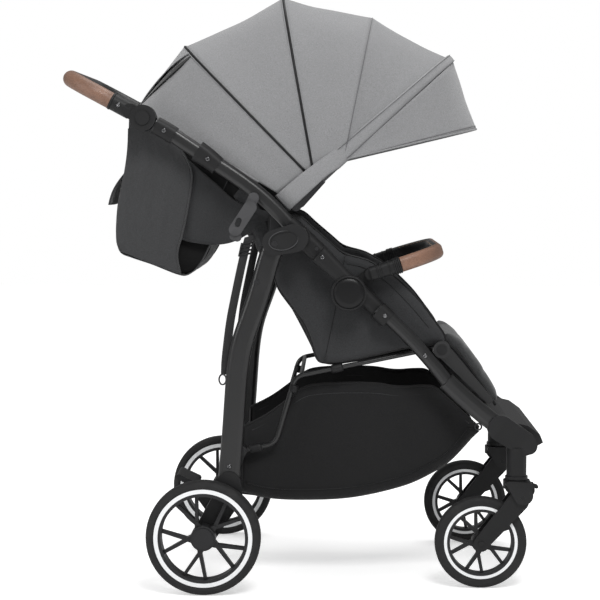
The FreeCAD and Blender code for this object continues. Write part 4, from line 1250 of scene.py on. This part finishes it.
def link_clips():
    """Moulded sleeves that hold the seat cloth and the basket to the link bars."""
    plane, steps = -0.176, 9
    clips = [("root", (80, 251), (102, 256), 0.0078), ("bend", (160.3, 358), (163.6, 372), 0.0082),
             ("seat", (232, 401.5), (254, 406), 0.0082)]
    for name, low, high, radius in clips:
        path = [at(*low, plane).lerp(at(*high, plane), k / (steps - 1)) for k in range(steps)]
        clip = cord("link_clip_%s_right" % name, path, lambda t: radius * (1 - 0.18 * abs(2 * t - 1) ** 8),
                    MOULDING, sides=18)
        both_sides(clip, riding("seat_link"))


def oval_ring(name, centre, heading, wide, deep, thick):
    """Raised oval band round a flat tube."""
    normal = Vector((-heading.z, 0, heading.x))
    path = []
    for k in range(36):
        turn = 2 * math.pi * k / 36
        sideways = Vector((0, deep * bent(math.sin(turn), 0.8), 0))
        path.append(centre + normal * wide * bent(math.cos(turn), 0.7) + sideways)
    return cord(name, path, thick, MOULDING, closed=True)


def loop_line(start, heading, run, half, bend, s):
    """A place on a U-shaped bar: arm, bend, front, bend, arm, with s from 0 to 1."""
    straight = run - bend
    turn = math.pi * bend / 2
    total = 2 * (straight + turn + half - bend)
    d = s * total
    mirror = d > total / 2
    d = min(d, total - d)
    if d < straight:
        along, y = d, -half
    elif d < straight + turn:
        angle = (d - straight) / bend
        along, y = straight + bend * math.sin(angle), -half + bend * (1 - math.cos(angle))
    else:
        along, y = straight + bend, -half + bend + (d - straight - turn)
    return start + heading * along + Vector((0, -y if mirror else y, 0))


def stitched(name, body, path, normal, every, inward, shift, reach, lean, thread):
    """A row of short stitches along a path, shifted towards its normal."""
    frames = frames_along(path, False, normal)
    stitches = []
    for k in range(2, len(path) - 3, every):
        tangent, side, top = frames[k]
        flat = path[k] + normal * shift + side * inward
        ends = [flat - tangent * reach - top * lean, flat, flat + tangent * reach + top * lean]
        stitches.append(cord("stitch", ends, thread, THREAD, sides=5))
    dress(merged(name, stitches), body)


def bumper_trim():
    """Ribs on the bumper's arms and the stitching of its leather."""
    root, end = at(305, 582), at(432, 622)
    heading = (end - root).normalized()
    half, bend = 0.214, 0.084
    for number, share in enumerate((0.10, 0.15, 0.27, 0.345, 0.37, 0.395, 0.42)):
        wide, thick = (0.0132, 0.0016) if share < 0.3 else (0.0139, 0.0019)
        centre = root.lerp(end, share) + Vector((0, -half, 0))
        rib = oval_ring("bumper_rib_%d_right" % number, centre, heading, wide, 0.0095, thick)
        both_sides(rib, riding("bumper"))
    normal = Vector((-heading.z, 0, heading.x))
    start = end - heading * bend
    path = [loop_line(start, heading, bend, half, bend, 0.03 + 0.94 * k / 149) for k in range(150)]
    for number, shift in enumerate((-0.0115, 0.0115)):
        stitched("bumper_stitching_%d" % number, "bumper", path, normal, every=3, inward=0.0068, shift=shift,
                 reach=0.0022, lean=0.0, thread=0.0007)


def handle_trim():
    """End collars and the stitching of the handle's leather grip."""
    hub, end = at(-113, 868), at(-252, 942.5)
    heading = (end - hub).normalized()
    start = hub + heading * 0.064
    half, bend = 0.215, 0.058
    profile = [(-0.0012, 0.0), (-0.0012, 0.0160), (0.0, 0.0166), (0.0022, 0.0166), (0.0032, 0.0158),
               (0.0032, 0.0)]
    for label, y in (("right", -half), ("left", half)):
        collar = turned_part("grip_collar_" + label, start + Vector((0, y, 0)), heading, profile,
                             MOULDING, 32)
        dress(collar, "handle")
    normal = Vector((-heading.z, 0, heading.x))
    path = [loop_line(start, heading, (end - start).length, half, bend, k / 219) for k in range(220)]
    stitched("grip_stitching", "handle", path, normal, every=2, inward=0.0157, shift=0.0, reach=0.0014,
             lean=0.0016, thread=0.00065)


def hinge_trim():
    """Dark lids of the round hinge bosses and the raised open ring on the oval hinge covers, paler grey as a
    painted highlight of its groove.
    """
    on_frame = riding("upper_frame")
    centre = BOSS + Vector((0, BOSS_FACE, 0))
    lid = [(0.0, 0.0), (0.0, 0.0262), (0.0005, 0.0266), (0.0009, 0.0262), (0.0013, 0.018), (0.0015, 0.0)]
    both_sides(turned_part("boss_lid_right", centre, Vector((0, -1, 0)), lid, LID, 48), on_frame)
    rim = oval_loop(centre, 0.0304, 0.0304, 48)
    both_sides(cord("boss_rim_right", rim, 0.0013, MOULDING, closed=True), on_frame)
    cover, along = at(146, 645.5, -0.2702), ray(12)
    across = ray(12 + 90)
    ring = []
    for k in range(50):
        turn = math.radians(62 + k * 6.1)
        ring.append(cover + along * 0.0265 * math.cos(turn) + across * 0.0170 * math.sin(turn))
    # Painted highlight: the ring is made in the paler grey moulding to show the highlight along the cover's
    # groove.
    band = cord("hinge_ring_right", ring, lambda t: 0.0009 * min(1.0, 0.2 + 8 * min(t, 1 - t)),
                MOULDING_GREY)
    both_sides(band, on_frame)


def basket_hooks():
    """Small rings that tie the basket's front to the frame."""
    loop = oval_loop(at(509, 291, -BASKET_HALF), 0.006, 0.006, 20)
    both_sides(cord("basket_ring_right", loop, 0.0016, STEEL, closed=True), IN_BASKET)


# ---------------------------------------------------------------- studio

LENS_MM = 110.0
SENSOR_MM = 36.0
CAMERA_AHEAD = 0.2482
CAMERA_AWAY = 3.585
CAMERA_HEIGHT = 0.7637
CAMERA_LOOK = (-0.02182, 1.0, -0.06819)
FLOOR_HALF = 9
LAMPS = {"key": ((0.5, -2.2, 2.6), 0.9, 44), "fill": ((-2.2, -1.6, 1.3), 0.8, 12),
         "top": ((0.4, 0.6, 3.2), 1.6, 30)}


def brightness(tree):
    """Background strength: full for the camera, weaker as light and weakest in mirror-like reflections."""
    seen = tree.nodes.new("ShaderNodeLightPath")
    mirrored, strength = (tree.nodes.new("ShaderNodeMapRange") for _ in range(2))
    mirrored.inputs["To Min"].default_value = 0.66
    mirrored.inputs["To Max"].default_value = 0.30
    strength.inputs["To Max"].default_value = 1.0
    tree.links.new(seen.outputs["Is Glossy Ray"], mirrored.inputs["Value"])
    tree.links.new(mirrored.outputs[0], strength.inputs["To Min"])
    tree.links.new(seen.outputs["Is Camera Ray"], strength.inputs["Value"])
    return strength.outputs[0]


def studio_floor():
    """Pale paper that looks white to the camera without lighting the stroller from below."""
    s = Shader("studio_floor")
    direct = s.add("LightPath").outputs["Is Camera Ray"]
    grain = s.tint(s.noise(40, 2), (0.90, 0.90, 0.90), (0.92, 0.92, 0.92))
    paper = s.finish(Base_Color=grain, Roughness=0.85, Emission_Color=(1.0, 1.0, 1.0, 1.0),
                     Emission_Strength=s.span(direct, 0.0, 1.0, 0.0, 0.45))
    signs = ((-1, -1), (1, -1), (1, 1), (-1, 1))
    corners = [Vector((x * FLOOR_HALF, y * FLOOR_HALF, -0.0004)) for x, y in signs]
    new_object("studio_floor", corners, [(0, 1, 2, 3)], paper)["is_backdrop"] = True


def placed(name, data, place, look):
    """Put a lamp or camera in the scene, looking along a direction."""
    obj = bpy.data.objects.new(name, data)
    obj.location = place
    obj.rotation_euler = look.to_track_quat("-Z", "Y").to_euler()
    bpy.context.scene.collection.objects.link(obj)
    return obj


def studio():
    """Pale floor, soft light and a camera square to the stroller's right side."""
    studio_floor()
    world = bpy.data.worlds.new("studio")
    bpy.context.scene.world = world
    world.use_nodes = True
    background = world.node_tree.nodes["Background"]
    background.inputs[0].default_value = (1.0, 1.0, 1.0, 1.0)
    world.node_tree.links.new(brightness(world.node_tree), background.inputs[1])
    middle = Vector((0.0, 0.0, 0.5))
    for name, (place, size, power) in LAMPS.items():
        lamp = bpy.data.lights.new(name, "AREA")
        lamp.size = size
        lamp.energy = power
        placed(name, lamp, place, middle - Vector(place))
    lens = bpy.data.cameras.new("camera")
    lens.lens = LENS_MM
    lens.sensor_width = SENSOR_MM
    stand = (AXLE.x + CAMERA_AHEAD, -CAMERA_AWAY, CAMERA_HEIGHT)
    bpy.context.scene.camera = placed("camera", lens, stand, Vector(CAMERA_LOOK))
    bpy.context.scene.view_settings.view_transform = "Standard"


# ---------------------------------------------------------------- build

repaint_solids()
canopy_panels()
canopy_piping()
front_sleeve()
visor()
rear_vent()
backrest_cushion()
seat_cushion()
seat_base()
seat_sides()
legrest_cushion()
harness()
basket()
rear_pocket()
back_curtain()
side_straps()
rivets()
link_clips()
bumper_trim()
handle_trim()
hinge_trim()
basket_hooks()
studio()

boxes = {"cad": CAD_BOX, "visual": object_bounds()}
{name: [list(corner) for corner in box] for name, box in boxes.items()}
